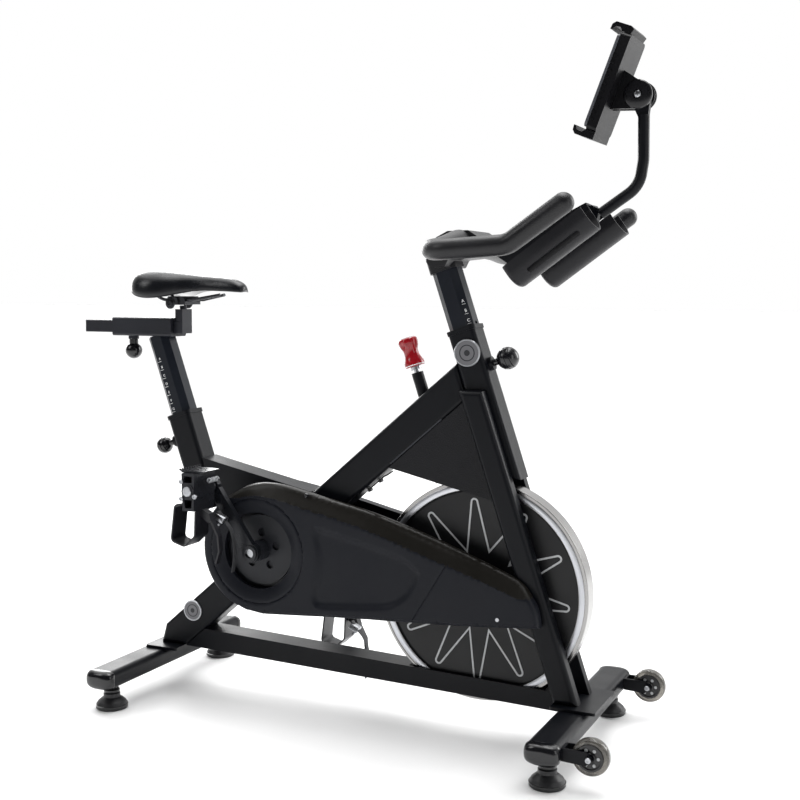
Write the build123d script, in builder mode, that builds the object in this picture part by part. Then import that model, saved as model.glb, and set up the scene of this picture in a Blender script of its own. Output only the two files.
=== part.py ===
import os
from math import sin, cos, tan, radians, atan2, degrees, hypot
from build123d import *

os.makedirs("parts", exist_ok=True)

# ---------------------------------------------------------------- driving dimensions, mm
XC = 452.1            # rear stabiliser axis lies this far behind the object's centre
WHEELBASE = 996.9     # rear stabiliser axis to front stabiliser axis
BAR_W, BAR_H, BAR_Z = 66.0, 40.0, 72.0      # stabiliser bar section and centre height
BAR_HALF = 250.0      # half length of the bare bar
CAP_T = 14.6          # end cap thickness
TUBE_Y = 30.0         # half width of the welded frame tubes
WALL = 3.5            # frame tube wall
SEAT_DEG, HEAD_DEG = 19.13, 18.70           # backward lean of the two posts
SEAT_X, SEAT_Z = 50.0, 633.0                # top of the seat tube on its axis
HEAD_X, HEAD_Z = 738.0, 836.0               # top of the head tube on its axis
SLOPE = 0.866         # rise per run of the main tube
FLY_X, FLY_Z, FLY_R = 784.0, 300.0, 229.0   # flywheel centre and radius
BB_X, BB_Z = 290.0, 348.0                   # crank axis
CRANK = 170.0         # crank length
CRANK_DEG = 124.0     # right crank direction in the side view
LEG_IN, LEG_OUT = 30.0, 57.0                # fork leg inner and outer faces
GUARD_Y, GUARD_FACE = 60.0, 85.0            # right guard rim and face
FOOT_R = 34.5
WHEEL_X, WHEEL_Y, WHEEL_Z, WHEEL_R = 1081.2, 223.2, 71.1, 35.0
GRIP_Y, GRIP_R = 226.5, 19.5                # handlebar grip spacing and radius
BRAKE_X, BRAKE_Z = 646.0, 702.0             # a point on the brake rod axis
RUN = 0.05            # radial running clearance


def at(x, y, z):
    return Vector(x - XC, y, z)


def side(y=0.0):
    # side view plane: local x is forward, local y is up, extrude goes to the right side
    return Plane(origin=at(0, y, 0), x_dir=(1, 0, 0), z_dir=(0, -1, 0))


def level(z=0.0):
    return Plane(origin=at(0, 0, z))


def tilt(x, z, deg, y=0.0):
    # plane across an axis that leans backward by deg from vertical
    a = radians(deg)
    return Plane(origin=at(x, y, z), x_dir=(cos(a), 0, sin(a)), z_dir=(-sin(a), 0, cos(a)))


def along(plane, s):
    # the same plane moved by s along its own axis
    return plane.offset(s)


def octo(w, c):
    h = w / 2
    return [(h - c, h), (h, h - c), (h, -h + c), (h - c, -h),
            (-h + c, -h), (-h, -h + c), (-h, h - c), (-h + c, h)]


def up_line(x):
    return 481.0 + SLOPE * (x - 403.0)


def lo_line(x):
    return 456.0 + SLOPE * (x - 481.0)


def seat_face(z, off):
    a = radians(SEAT_DEG)
    return SEAT_X + (SEAT_Z - z) * tan(a) + off / cos(a)


def head_face(z, off):
    a = radians(HEAD_DEG)
    return HEAD_X + (HEAD_Z - z) * tan(a) + off / cos(a)


def leg_face(z, off):
    return 729.0 + (836.0 - z) * tan(radians(HEAD_DEG)) + off / cos(radians(HEAD_DEG))


def meet(line, face, off):
    z = 700.0
    for _ in range(60):
        z = line(face(z, off))
        z = 0.5 * (z + line(face(z, off)))
    return face(z, off), z


def solve(line, face, off):
    lo, hi = 300.0, 900.0
    for _ in range(80):
        m = 0.5 * (lo + hi)
        if line(face(m, off)) > m:
            lo = m
        else:
            hi = m
    return face(lo, off), lo


SEAT = tilt(SEAT_X, SEAT_Z, SEAT_DEG)
HEAD = tilt(HEAD_X, HEAD_Z, HEAD_DEG)
BRAKE = tilt(BRAKE_X, BRAKE_Z, HEAD_DEG)

# ---------------------------------------------------------------- frame: seat tube
with BuildPart() as seat_tube:
    with BuildSketch(SEAT):
        RectangleRounded(60, 60, 10)
        Polygon(*octo(53.8, 13.3), mode=Mode.SUBTRACT)
    extrude(amount=-228)
    with BuildSketch(SEAT):
        RectangleRounded(64, 64, 11)
        Polygon(*octo(53.8, 13.3), mode=Mode.SUBTRACT)
    extrude(amount=-9)
    # threaded collar for the height pin, on the rear wall
    with BuildSketch(Plane(origin=along(SEAT, -56.6).origin, x_dir=(0, 1, 0), z_dir=-SEAT.x_dir).offset(29.0)):
        Circle(13)
    extrude(amount=17)
    with BuildSketch(Plane(origin=along(SEAT, -56.6).origin, x_dir=(0, 1, 0), z_dir=-SEAT.x_dir).offset(20)):
        Circle(7.05)
    extrude(amount=40, mode=Mode.SUBTRACT)
seat_tube.part.label = "seat_tube"
export_step(seat_tube.part, "parts/seat_tube.step")

# ---------------------------------------------------------------- frame: main tube
mt_top = solve(up_line, head_face, -30)
mt_low = solve(lo_line, head_face, -30)
with BuildPart() as main_tube:
    with BuildSketch(side()):
        with BuildLine():
            Polyline((-2, 98), (10, up_line(10)), mt_top, mt_low, (67.6, 98), close=True)
        make_face()
    extrude(amount=TUBE_Y, both=True)
    fillet(main_tube.faces().filter_by(Axis.Y).edges(), 9)
    with BuildSketch(side()):
        with BuildLine():
            Polyline((-2, 98), (10, up_line(10)), mt_top, mt_low, (67.6, 98), close=True)
        make_face()
        offset(amount=-WALL - 1, kind=Kind.INTERSECTION, mode=Mode.REPLACE)
    extrude(amount=TUBE_Y - WALL, both=True, mode=Mode.SUBTRACT)
    with BuildSketch(side()):
        with Locations((BB_X, BB_Z)):
            Circle(22)
    extrude(amount=40, both=True, mode=Mode.SUBTRACT)
    with BuildSketch(BRAKE):
        Circle(6.6)
    extrude(amount=140, both=True, mode=Mode.SUBTRACT)
main_tube.part.label = "main_tube"
export_step(main_tube.part, "parts/main_tube.step")

# ---------------------------------------------------------------- frame: upper beam
ub = [(seat_face(536, 30), 536), (395, up_line(395) + 4.0), (395, up_line(395)), (330, up_line(330)), (seat_face(418, 30), 418)]
with BuildPart() as upper_beam:
    with BuildSketch(side()):
        with BuildLine():
            Polyline(*ub, close=True)
        make_face()
    extrude(amount=TUBE_Y - 0.5, both=True)
    with BuildSketch(side()):
        with BuildLine():
            Polyline(*ub, close=True)
        make_face()
        offset(amount=-WALL, kind=Kind.INTERSECTION, mode=Mode.REPLACE)
    extrude(amount=TUBE_Y - WALL, both=True, mode=Mode.SUBTRACT)
upper_beam.part.label = "upper_beam"
export_step(upper_beam.part, "parts/upper_beam.step")

# ---------------------------------------------------------------- frame: head tube, a long sleeve with a sloping foot
with BuildPart() as head_tube:
    with BuildSketch(HEAD):
        RectangleRounded(60, 60, 10)
    extrude(amount=-330)
    with BuildSketch(HEAD):
        RectangleRounded(64, 64, 11)
    extrude(amount=-9)
    with BuildSketch(HEAD):
        Polygon(*octo(55.8, 13.4))
    extrude(amount=-340, mode=Mode.SUBTRACT)
    with BuildSketch(side()):
        Polygon((700, 587), (790, 560), (900, 527), (960, 500), (960, 400), (700, 400), align=None)
    extrude(amount=60, both=True, mode=Mode.SUBTRACT)
    with BuildSketch(Plane(origin=along(HEAD, -86.0).origin, x_dir=(0, 1, 0), z_dir=HEAD.x_dir).offset(29.0)):
        Circle(14)
    extrude(amount=9)
    with BuildSketch(Plane(origin=along(HEAD, -86.0).origin, x_dir=(0, 1, 0), z_dir=HEAD.x_dir).offset(20)):
        Circle(7.05)
    extrude(amount=40, mode=Mode.SUBTRACT)
head_tube.part.label = "head_tube"
export_step(head_tube.part, "parts/head_tube.step")

# ---------------------------------------------------------------- frame: fork legs
leg = [(leg_face(712, -24), 712), (leg_face(712, 24), 712), (leg_face(98, 24), 98), (leg_face(98, -24), 98)]
for sgn, nm in ((-1, "fork_leg_right"), (1, "fork_leg_left")):
    with BuildPart() as fork_leg:
        with BuildSketch(side(sgn * 0.5 * (LEG_IN + LEG_OUT))):
            with BuildLine():
                Polyline(*leg, close=True)
            make_face()
        extrude(amount=0.5 * (LEG_OUT - LEG_IN), both=True)
        outer = fork_leg.faces().sort_by(Axis.Y)[0 if sgn < 0 else -1]
        fillet(outer.edges(), 10)
        with BuildSketch(side(sgn * 0.5 * (LEG_IN + LEG_OUT))):
            with BuildLine():
                Polyline(*leg, close=True)
            make_face()
            offset(amount=-WALL - 2.5, kind=Kind.INTERSECTION, mode=Mode.REPLACE)
        extrude(amount=0.5 * (LEG_OUT - LEG_IN) - WALL, both=True, mode=Mode.SUBTRACT)
    fork_leg.part.label = nm
    export_step(fork_leg.part, "parts/" + nm + ".step")

# ---------------------------------------------------------------- frame: gusset box under the main tube
g1 = (head_face(mt_low[1], -30), mt_low[1])
g2 = (581, lo_line(581))
g3 = (head_face(487, -30), 487)
with BuildPart() as gusset:
    for y in (-28, 28):
        with BuildSketch(side(y)):
            with BuildLine():
                Polyline(g1, g2, g3, close=True)
            make_face()
        extrude(amount=2, both=True)
    s = (g3[1] - g2[1]) / (g3[0] - g2[0])
    with BuildSketch(side()):
        Polygon(g2, (g2[0] + 4.6, lo_line(g2[0] + 4.6)), (668, g2[1] + s * (668 - g2[0]) + 4), (668, g2[1] + s * (668 - g2[0])), align=None)
    extrude(amount=28, both=True)
gusset.part.label = "gusset"
export_step(gusset.part, "parts/gusset.step")

# ---------------------------------------------------------------- frame: bottom beam
bb = [(67.6, 98), (lo_line(0) and 118.4, lo_line(118.4)), (963.9, 112), (963.9, 74), (930, 75)]
with BuildPart() as bottom_beam:
    with BuildSketch(side()):
        with BuildLine():
            Polyline(*bb, close=True)
        make_face()
    extrude(amount=TUBE_Y - 1, both=True)
    with BuildSketch(side()):
        with BuildLine():
            Polyline(*bb, close=True)
        make_face()
        offset(amount=-WALL, kind=Kind.INTERSECTION, mode=Mode.REPLACE)
    extrude(amount=TUBE_Y - WALL - 1, both=True, mode=Mode.SUBTRACT)
    # the beam straddles the flywheel
    with BuildSketch(side()):
        with Locations((FLY_X, FLY_Z)):
            Circle(FLY_R + 7)
    extrude(amount=24, both=True, mode=Mode.SUBTRACT)
bottom_beam.part.label = "bottom_beam"
export_step(bottom_beam.part, "parts/bottom_beam.step")

# ---------------------------------------------------------------- frame: stabiliser bars with welded plates
for nm, x0, fy in (("rear_stabiliser", 0.0, 215.0), ("front_stabiliser", WHEELBASE, 218.0)):
    with BuildPart() as bar:
        with BuildSketch(side()):
            with Locations((x0, BAR_Z)):
                RectangleRounded(BAR_W, BAR_H, 13)
        extrude(amount=BAR_HALF, both=True)
        with BuildSketch(side()):
            with Locations((x0, BAR_Z)):
                RectangleRounded(BAR_W - 7, BAR_H - 7, 10)
        extrude(amount=BAR_HALF, both=True, mode=Mode.SUBTRACT)
        with BuildSketch(level(92)):
            with Locations((x0 + (21 if x0 < 10 else 2), 0)):
                RectangleRounded(84 if x0 < 10 else 92, 128 if x0 < 10 else 150, 5)
        extrude(amount=6)
        # the plate is notched where the bottom beam meets the front bar
        if x0 > 10:
            with BuildSketch(level(92)):
                with Locations((924, 0)):
                    Rectangle(80, 60)
            extrude(amount=8, mode=Mode.SUBTRACT)
        # threaded foot bosses
        with BuildSketch(level(BAR_Z - BAR_H / 2 - 3)):
            with Locations((x0, -fy), (x0, fy)):
                Circle(11)
        extrude(amount=12)
        with BuildSketch(level(30)):
            with Locations((x0, -fy), (x0, fy)):
                Circle(6 + RUN)
        extrude(amount=50, mode=Mode.SUBTRACT)
    bar.part.label = nm
    export_step(bar.part, "parts/" + nm + ".step")

with BuildPart() as bar_caps:
    for x0 in (0.0, WHEELBASE):
        for sgn in (-1, 1):
            with BuildSketch(side(sgn * BAR_HALF)):
                with Locations((x0, BAR_Z)):
                    RectangleRounded(BAR_W + 1, BAR_H + 1, 13.5)
            extrude(amount=-sgn * CAP_T)
    fillet(bar_caps.faces().filter_by(Axis.Y).group_by(Axis.Y)[0].edges(), 6)
    fillet(bar_caps.faces().filter_by(Axis.Y).group_by(Axis.Y)[-1].edges(), 6)
bar_caps.part.label = "bar_caps"
export_step(bar_caps.part, "parts/bar_caps.step")

# ---------------------------------------------------------------- frame: transport wheel brackets with their bolts
with BuildPart() as wheel_brackets:
    x1 = WHEELBASE + BAR_W / 2
    for sgn in (-1, 1):
        for off in (-15.5, 15.5):
            with BuildSketch(side(sgn * WHEEL_Y + off)):
                Polygon((x1, 60), (x1, 84), (WHEEL_X - 6, 84), (WHEEL_X + 10, 71.1), (WHEEL_X - 6, 58), align=None)
            extrude(amount=1.75, both=True)
        with BuildSketch(side(sgn * WHEEL_Y)):
            Polygon((x1, 60), (x1, 84), (x1 + 4, 84), (x1 + 4, 60), align=None)
        extrude(amount=17.25, both=True)
        with BuildSketch(side(sgn * WHEEL_Y)):
            with Locations((WHEEL_X, WHEEL_Z)):
                Circle(4)
        extrude(amount=20.5, both=True)
        for off in (-19.5, 19.5):
            with BuildSketch(side(sgn * WHEEL_Y + off)):
                with Locations((WHEEL_X, WHEEL_Z)):
                    RegularPolygon(7.5, 6)
            extrude(amount=2.25, both=True)
wheel_brackets.part.label = "wheel_brackets"
export_step(wheel_brackets.part, "parts/wheel_brackets.step")

# ---------------------------------------------------------------- frame: flywheel axle and its plates
with BuildPart() as axle_plates:
    for sgn in (-1, 1):
        with BuildSketch(side(sgn * (LEG_OUT + 3))):
            Polygon((764, 296), (770, 322), (800, 328), (888, 308), (892, 276), (800, 279), (772, 280), align=None)
            with Locations((FLY_X, FLY_Z)):
                Circle(8.5, mode=Mode.SUBTRACT)
        extrude(amount=3, both=True)
axle_plates.part.label = "axle_plates"
export_step(axle_plates.part, "parts/axle_plates.step")

with BuildPart() as flywheel_axle:
    with BuildSketch(side()):
        with Locations((FLY_X, FLY_Z)):
            Circle(8.5)
    extrude(amount=72, both=True)
    for y in (-67, 67):
        with BuildSketch(side(y)):
            with Locations((FLY_X, FLY_Z)):
                RegularPolygon(14, 6)
        extrude(amount=4, both=True)
flywheel_axle.part.label = "flywheel_axle"
export_step(flywheel_axle.part, "parts/flywheel_axle.step")

# ---------------------------------------------------------------- frame: crank bearing shell
with BuildPart() as bearing_shell:
    with BuildSketch(side()):
        with Locations((BB_X, BB_Z)):
            Circle(22)
            Circle(16, mode=Mode.SUBTRACT)
    extrude(amount=40, both=True)
    for y in (-36, 36):
        with BuildSketch(side(y)):
            with Locations((BB_X, BB_Z)):
                Circle(16)
                Circle(10 + RUN, mode=Mode.SUBTRACT)
        extrude(amount=4, both=True)
bearing_shell.part.label = "bearing_shell"
export_step(bearing_shell.part, "parts/bearing_shell.step")


# ---------------------------------------------------------------- guards
def guard_outline():
    Spline((888, 338), (782, 382), (616, 437), (465, 472), (393, 488), (322, 498), (263, 489), (224, 466))
    ThreePointArc((224, 466), (153, 347), (238, 222))
    Polyline((238, 222), (266, 213), (304, 209.5), (465, 222), (762, 236), (931, 252), (916, 307), (888, 338))


def cavity_outline():
    Polyline((225, 440), (170, 390), (167, 305), (208, 256), (250, 229), (306, 222), (465, 234), (762, 248), (915, 264), (901, 298), (878, 328),
             (778, 370), (612, 425), (462, 460), (392, 476), (322, 486), (266, 477), close=True)


def inner_outline():
    Polyline((218, 452), (160, 400), (162, 300), (240, 232), (306, 220), (465, 232), (762, 246),
             (leg_face(246, -29), 246), (leg_face(340, -29), 340), (782, 372), (616, 426), (465, 461), (322, 486), (266, 477), close=True)


with BuildPart() as guard_right:
    with BuildSketch(side(-GUARD_Y)):
        with BuildLine():
            guard_outline()
        make_face()
    extrude(amount=GUARD_FACE - GUARD_Y)
    chamfer(guard_right.faces().sort_by(Axis.Y)[0].edges(), 8)
    with BuildSketch(side(-GUARD_Y)):
        with BuildLine():
            cavity_outline()
        make_face()
    extrude(amount=GUARD_FACE - GUARD_Y - 4, mode=Mode.SUBTRACT)
    with BuildSketch(side(-GUARD_Y)):
        with Locations((BB_X, BB_Z)):
            Circle(84)
    extrude(amount=40, mode=Mode.SUBTRACT)
    # seam groove round the crank opening and the shallow panel forward of it
    with BuildSketch(side(-GUARD_FACE + 1.2)):
        with Locations((BB_X, BB_Z)):
            Circle(116)
            Circle(113, mode=Mode.SUBTRACT)
    extrude(amount=3, mode=Mode.SUBTRACT)
    with BuildSketch(side(-GUARD_FACE + 1.6)):
        Polygon((455, 436), (600, 396), (688, 362), (702, 340), (668, 283), (612, 252), (472, 240), (420, 240), (438, 300), (443, 350), (436, 400), align=None)
    extrude(amount=3, mode=Mode.SUBTRACT)
    with BuildSketch(side(-GUARD_FACE + 2)):
        with Locations((846, 262)):
            Circle(5)
    extrude(amount=3, mode=Mode.SUBTRACT)
guard_right.part.label = "guard_right"
export_step(guard_right.part, "parts/guard_right.step")

with BuildPart() as guard_inner:
    with BuildSketch(side(-34)):
        with BuildLine():
            inner_outline()
        make_face()
    extrude(amount=26)
    with BuildSketch(side(-37)):
        with BuildLine():
            inner_outline()
        make_face()
        offset(amount=-3, kind=Kind.INTERSECTION, mode=Mode.REPLACE)
    extrude(amount=30, mode=Mode.SUBTRACT)
    with BuildSketch(side(-30)):
        with Locations((BB_X, BB_Z)):
            Circle(23)
        with Locations((FLY_X, FLY_Z)):
            Circle(22)
    extrude(amount=10, mode=Mode.SUBTRACT)
    with BuildSketch(side(-56.5)):
        Polygon((840, 250), (840, 335), (930, 335), (930, 250), align=None)
    extrude(amount=6, mode=Mode.SUBTRACT)
guard_inner.part.label = "guard_inner"
export_step(guard_inner.part, "parts/guard_inner.step")

with BuildPart() as guard_left:
    with BuildSketch(side(34)):
        with BuildLine():
            inner_outline()
        make_face()
    extrude(amount=-22)
    with BuildSketch(side(33)):
        with BuildLine():
            inner_outline()
        make_face()
        offset(amount=-3, kind=Kind.INTERSECTION, mode=Mode.REPLACE)
    extrude(amount=-20, mode=Mode.SUBTRACT)
    with BuildSketch(side(30)):
        with Locations((BB_X, BB_Z)):
            Circle(40)
        with Locations((FLY_X, FLY_Z)):
            Circle(26)
    extrude(amount=-30, mode=Mode.SUBTRACT)
guard_left.part.label = "guard_left"
export_step(guard_left.part, "parts/guard_left.step")

# ---------------------------------------------------------------- drive belt, a closed loop round both pulleys
R_BIG, R_SMALL, BELT_GAP, BELT_T = 104.0, 28.0, 0.6, 4.0
dx, dz = FLY_X - BB_X, FLY_Z - BB_Z
dist, ang0 = hypot(dx, dz), atan2(dz, dx)


def loop(rb, rs):
    # hull of two circles
    b = atan2(0, 1)
    from_angle = ang0 + (radians(90) - (rb - rs) / dist)
    to_angle = ang0 - (radians(90) - (rb - rs) / dist)
    p1 = (BB_X + rb * cos(from_angle), BB_Z + rb * sin(from_angle))
    p2 = (FLY_X + rs * cos(from_angle), FLY_Z + rs * sin(from_angle))
    p3 = (FLY_X + rs * cos(to_angle), FLY_Z + rs * sin(to_angle))
    p4 = (BB_X + rb * cos(to_angle), BB_Z + rb * sin(to_angle))
    m1 = (FLY_X + rs * cos(ang0), FLY_Z + rs * sin(ang0))
    m2 = (BB_X - rb * cos(ang0), BB_Z - rb * sin(ang0))
    Line(p1, p2)
    ThreePointArc(p2, m1, p3)
    Line(p3, p4)
    ThreePointArc(p4, m2, p1)


with BuildPart() as drive_belt:
    with BuildSketch(side(-44)):
        with BuildLine():
            loop(R_BIG + BELT_GAP + BELT_T, R_SMALL + BELT_GAP + BELT_T)
        make_face()
        with BuildLine():
            loop(R_BIG + BELT_GAP, R_SMALL + BELT_GAP)
        make_face(mode=Mode.SUBTRACT)
    extrude(amount=10)
drive_belt.part.label = "drive_belt"
export_step(drive_belt.part, "parts/drive_belt.step")

# ---------------------------------------------------------------- blank badge discs
with BuildPart() as badges:
    with BuildSketch(side(-32)):
        with Locations((757, 787)):
            Circle(28)
    extrude(amount=3)
    with BuildSketch(side(-TUBE_Y)):
        with Locations((88, 182)):
            Circle(24)
    extrude(amount=2)
badges.part.label = "badges"
export_step(badges.part, "parts/badges.step")

# ---------------------------------------------------------------- brake rod sleeve on the main tube
with BuildPart() as brake_sleeve:
    with BuildSketch(BRAKE):
        Circle(12.5)
        Circle(6.6, mode=Mode.SUBTRACT)
    extrude(amount=42)
    with BuildSketch(BRAKE):
        Circle(12.5)
        Circle(6.6, mode=Mode.SUBTRACT)
    extrude(amount=-30)
    with BuildSketch(side()):
        Polygon((560, up_line(560)), (740, up_line(740)), (740, 560), (560, 500), align=None)
    extrude(amount=40, both=True, mode=Mode.SUBTRACT)
brake_sleeve.part.label = "brake_sleeve"
export_step(brake_sleeve.part, "parts/brake_sleeve.step")

# ---------------------------------------------------------------- sensor cable under the main tube
with BuildPart() as sensor_cable:
    with BuildLine():
        FilletPolyline(at(519, 0, lo_line(519) - 3.2), at(556, 0, lo_line(556) - 3.2), at(566, 0, 523), at(577, 0, 531), radius=5)
    with BuildSketch(Plane(origin=at(519, 0, lo_line(519) - 3.2), z_dir=(1, 0, SLOPE))):
        Circle(1.6)
    sweep()
    with BuildSketch(side()):
        with Locations((524, lo_line(524) - 6.0), (549, lo_line(549) - 6.0)):
            Circle(4.2)
    extrude(amount=5, both=True)
sensor_cable.part.label = "sensor_cable"
export_step(sensor_cable.part, "parts/sensor_cable.step")

# ---------------------------------------------------------------- seat post and slider
with BuildPart() as seat_post:
    with BuildSketch(along(SEAT, -150)):
        Polygon(*octo(53, 13))
        Polygon(*octo(47, 11), mode=Mode.SUBTRACT)
    extrude(amount=335)
    with BuildSketch(level(806)):
        with Locations((0, 0)):
            Rectangle(400, 200)
    extrude(amount=60, mode=Mode.SUBTRACT)
    # pin holes down the rear flat
    for k in range(7):
        with BuildSketch(Plane(origin=along(SEAT, -56.6 + 24 * k).origin, x_dir=(0, 1, 0), z_dir=-SEAT.x_dir).offset(15)):
            Circle(5.5)
        extrude(amount=12, mode=Mode.SUBTRACT)
seat_post.part.label = "seat_post"
export_step(seat_post.part, "parts/seat_post.step")

with BuildPart() as slider_sleeve:
    with BuildSketch(Plane(origin=at(-127, 0, 827), x_dir=(0, 1, 0), z_dir=(1, 0, 0))):
        RectangleRounded(60, 42, 6)
        RectangleRounded(39, 29, 3, mode=Mode.SUBTRACT)
    extrude(amount=163)
    with BuildSketch(level(806)):
        with Locations((-89, 0)):
            Circle(12)
    extrude(amount=-8)
    with BuildSketch(level(790)):
        with Locations((-89, 0)):
            Circle(6 + RUN)
    extrude(amount=30, mode=Mode.SUBTRACT)
slider_sleeve.part.label = "slider_sleeve"
export_step(slider_sleeve.part, "parts/slider_sleeve.step")

with BuildPart() as slider_knob:
    with Locations(at(-89, 0, 771)):
        Sphere(19)
    with BuildSketch(level(785)):
        with Locations((-89, 0)):
            Circle(10)
    extrude(amount=12.6)
    with BuildSketch(level(785)):
        with Locations((-89, 0)):
            Circle(6)
    extrude(amount=27.4)
slider_knob.part.label = "slider_knob"
export_step(slider_knob.part, "parts/slider_knob.step")

with BuildPart() as saddle_slider:
    with BuildSketch(Plane(origin=at(-212, 0, 827), x_dir=(0, 1, 0), z_dir=(1, 0, 0))):
        RectangleRounded(38, 28, 2.5)
        RectangleRounded(31, 21, 1.5, mode=Mode.SUBTRACT)
    extrude(amount=264)
    with BuildSketch(side()):
        Polygon((41, 841), (41, 868), (60, 868), (60, 813), (52, 813), (52, 841), align=None)
    extrude(amount=19, both=True)
    # ridged stem that takes the saddle clamp
    with BuildSketch(level(867)):
        with Locations((50, 0)):
            Circle(8)
    extrude(amount=9)
    # rear end plug
    with BuildSketch(Plane(origin=at(-212, 0, 827), x_dir=(0, 1, 0), z_dir=(1, 0, 0))):
        RectangleRounded(31, 21, 1.5)
    extrude(amount=4)
saddle_slider.part.label = "saddle_slider"
export_step(saddle_slider.part, "parts/saddle_slider.step")

# ---------------------------------------------------------------- saddle
SADDLE = Plane(origin=at(80, 0, 916), x_dir=(0.998, 0, -0.06), z_dir=(0.06, 0, 0.998))


def saddle_outline(k, e):
    pts = [(-141, 0), (-134, 44), (-108, 72), (-70, 77), (-28, 58), (10, 36), (60, 24), (110, 19), (134, 0)]
    half = [((px + 4) * k - 4, max(py - e, 0.0) if 0 < py else 0.0) for px, py in pts]
    full = half + [(px, -py) for px, py in half[-2:0:-1]]
    Spline(*full, periodic=True)


with BuildPart() as saddle_cushion:
    with BuildSketch(SADDLE.offset(0)):
        with BuildLine():
            saddle_outline(1.0, 0)
        make_face()
    with BuildSketch(SADDLE.offset(16)):
        with BuildLine():
            saddle_outline(0.99, 0.5)
        make_face()
    with BuildSketch(SADDLE.offset(31)):
        with BuildLine():
            saddle_outline(0.90, 6)
        make_face()
    loft()
saddle_cushion.part.label = "saddle_cushion"
export_step(saddle_cushion.part, "parts/saddle_cushion.step")

with BuildPart() as saddle_shell:
    with BuildSketch(SADDLE.offset(-8)):
        with BuildLine():
            saddle_outline(0.93, 5)
        make_face()
    with BuildSketch(SADDLE.offset(0)):
        with BuildLine():
            saddle_outline(0.985, 1)
        make_face()
    loft()
saddle_shell.part.label = "saddle_shell"
export_step(saddle_shell.part, "parts/saddle_shell.step")

with BuildPart() as saddle_rails:
    for s_ in (-1, 1):
        with BuildLine():
            FilletPolyline(at(-20, s_ * 40, 912), at(12, s_ * 22, 889), at(90, s_ * 22, 889), at(155, s_ * 9, 900.5), radius=22)
        with BuildSketch(Plane(origin=at(-20, s_ * 40, 912), z_dir=(32, -s_ * 18, -23))):
            Circle(3.5)
        sweep()
    # clamp: saddle block with a cross bolt
    with BuildSketch(side()):
        Polygon((24, 878.5), (24, 886), (30, 897), (70, 897), (76, 886), (76, 878.5), align=None)
    extrude(amount=30, both=True)
    with BuildSketch(side()):
        with Locations((50, 886.5)):
            Circle(9)
    extrude(amount=35, both=True)
saddle_rails.part.label = "saddle_rails"
export_step(saddle_rails.part, "parts/saddle_rails.step")


# ---------------------------------------------------------------- pull pins
for nm, p_origin, out_dir, r_ball, d_ball, tip in (
        ("seat_pin", along(SEAT, -56.6).origin, -SEAT.x_dir, 18.5, 78.0, 27.4),
        ("head_pin", along(HEAD, -86.0).origin, HEAD.x_dir, 23.0, 70.0, 28.4)):
    # pin stem, neck and ridged ball, along out_dir from the post axis
    pl = Plane(origin=p_origin, x_dir=(0, 1, 0), z_dir=out_dir)
    with BuildPart() as pull_pin:
        with BuildSketch(pl.offset(tip)):
            Circle(7)
        extrude(amount=d_ball - tip)
        with Locations(pl.offset(d_ball).location):
            Sphere(r_ball)
        for off in (-r_ball * 0.42, 0.0, r_ball * 0.42):
            with BuildSketch(pl.offset(d_ball + off - 1.0)):
                Circle((r_ball ** 2 - off ** 2) ** 0.5 + 1.0)
                Circle((r_ball ** 2 - off ** 2) ** 0.5 - 1.5, mode=Mode.SUBTRACT)
            extrude(amount=2.0, mode=Mode.SUBTRACT)
    pull_pin.part.label = nm
    export_step(pull_pin.part, "parts/" + nm + ".step")

# ---------------------------------------------------------------- handlebar post and hub
with BuildPart() as bar_post:
    with BuildSketch(along(HEAD, -130)):
        Polygon(*octo(55, 13))
        Polygon(*octo(48, 11), mode=Mode.SUBTRACT)
    extrude(amount=252)
    for k in range(5):
        with BuildSketch(Plane(origin=along(HEAD, -86.0 + 22 * k).origin, x_dir=(0, 1, 0), z_dir=HEAD.x_dir).offset(16)):
            Circle(5.5)
        extrude(amount=12, mode=Mode.SUBTRACT)
bar_post.part.label = "bar_post"
export_step(bar_post.part, "parts/bar_post.step")

# the bar's cross piece rises to the hub in the middle
CROSS_X, CROSS_Z = 746.0, 1004.0
HUB = along(HEAD, 122)
with BuildPart() as bar_hub:
    with BuildSketch(HUB):
        RectangleRounded(59, 59, 9)
    extrude(amount=34)
    with BuildSketch(side()):
        with BuildLine():
            Polyline((676, 968), (680, 1000), (698, 1018), (722, 1030), (766, 1031), (790, 1016), (788, 988), (766, 978), (724, 974), (716, 958), (690, 958), close=True)
        make_face()
        fillet(vertices(), 5)
    extrude(amount=58, both=True)
    with BuildSketch(side()):
        with Locations((CROSS_X, CROSS_Z)):
            Circle(GRIP_R)
    extrude(amount=70, both=True, mode=Mode.SUBTRACT)
    with BuildSketch(HUB):
        Rectangle(300, 200)
    extrude(amount=-60, mode=Mode.SUBTRACT)
bar_hub.part.label = "bar_hub"
export_step(bar_hub.part, "parts/bar_hub.step")

with BuildPart() as handlebar:
    with BuildLine():
        FilletPolyline(at(1013, -GRIP_Y, 1066), at(909, -GRIP_Y, 994.5), at(CROSS_X, -GRIP_Y, 985), at(CROSS_X, -68, CROSS_Z),
                       at(CROSS_X, 68, CROSS_Z), at(CROSS_X, GRIP_Y, 985), at(909, GRIP_Y, 994.5), at(1013, GRIP_Y, 1066), radius=45)
    with BuildSketch(Plane(origin=at(1013, -GRIP_Y, 1066), z_dir=(-104, 0, -71.5))):
        Circle(GRIP_R)
    sweep()
    with Locations(at(1013, -GRIP_Y, 1066), at(1013, GRIP_Y, 1066)):
        Sphere(GRIP_R)
handlebar.part.label = "handlebar"
export_step(handlebar.part, "parts/handlebar.step")

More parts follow.
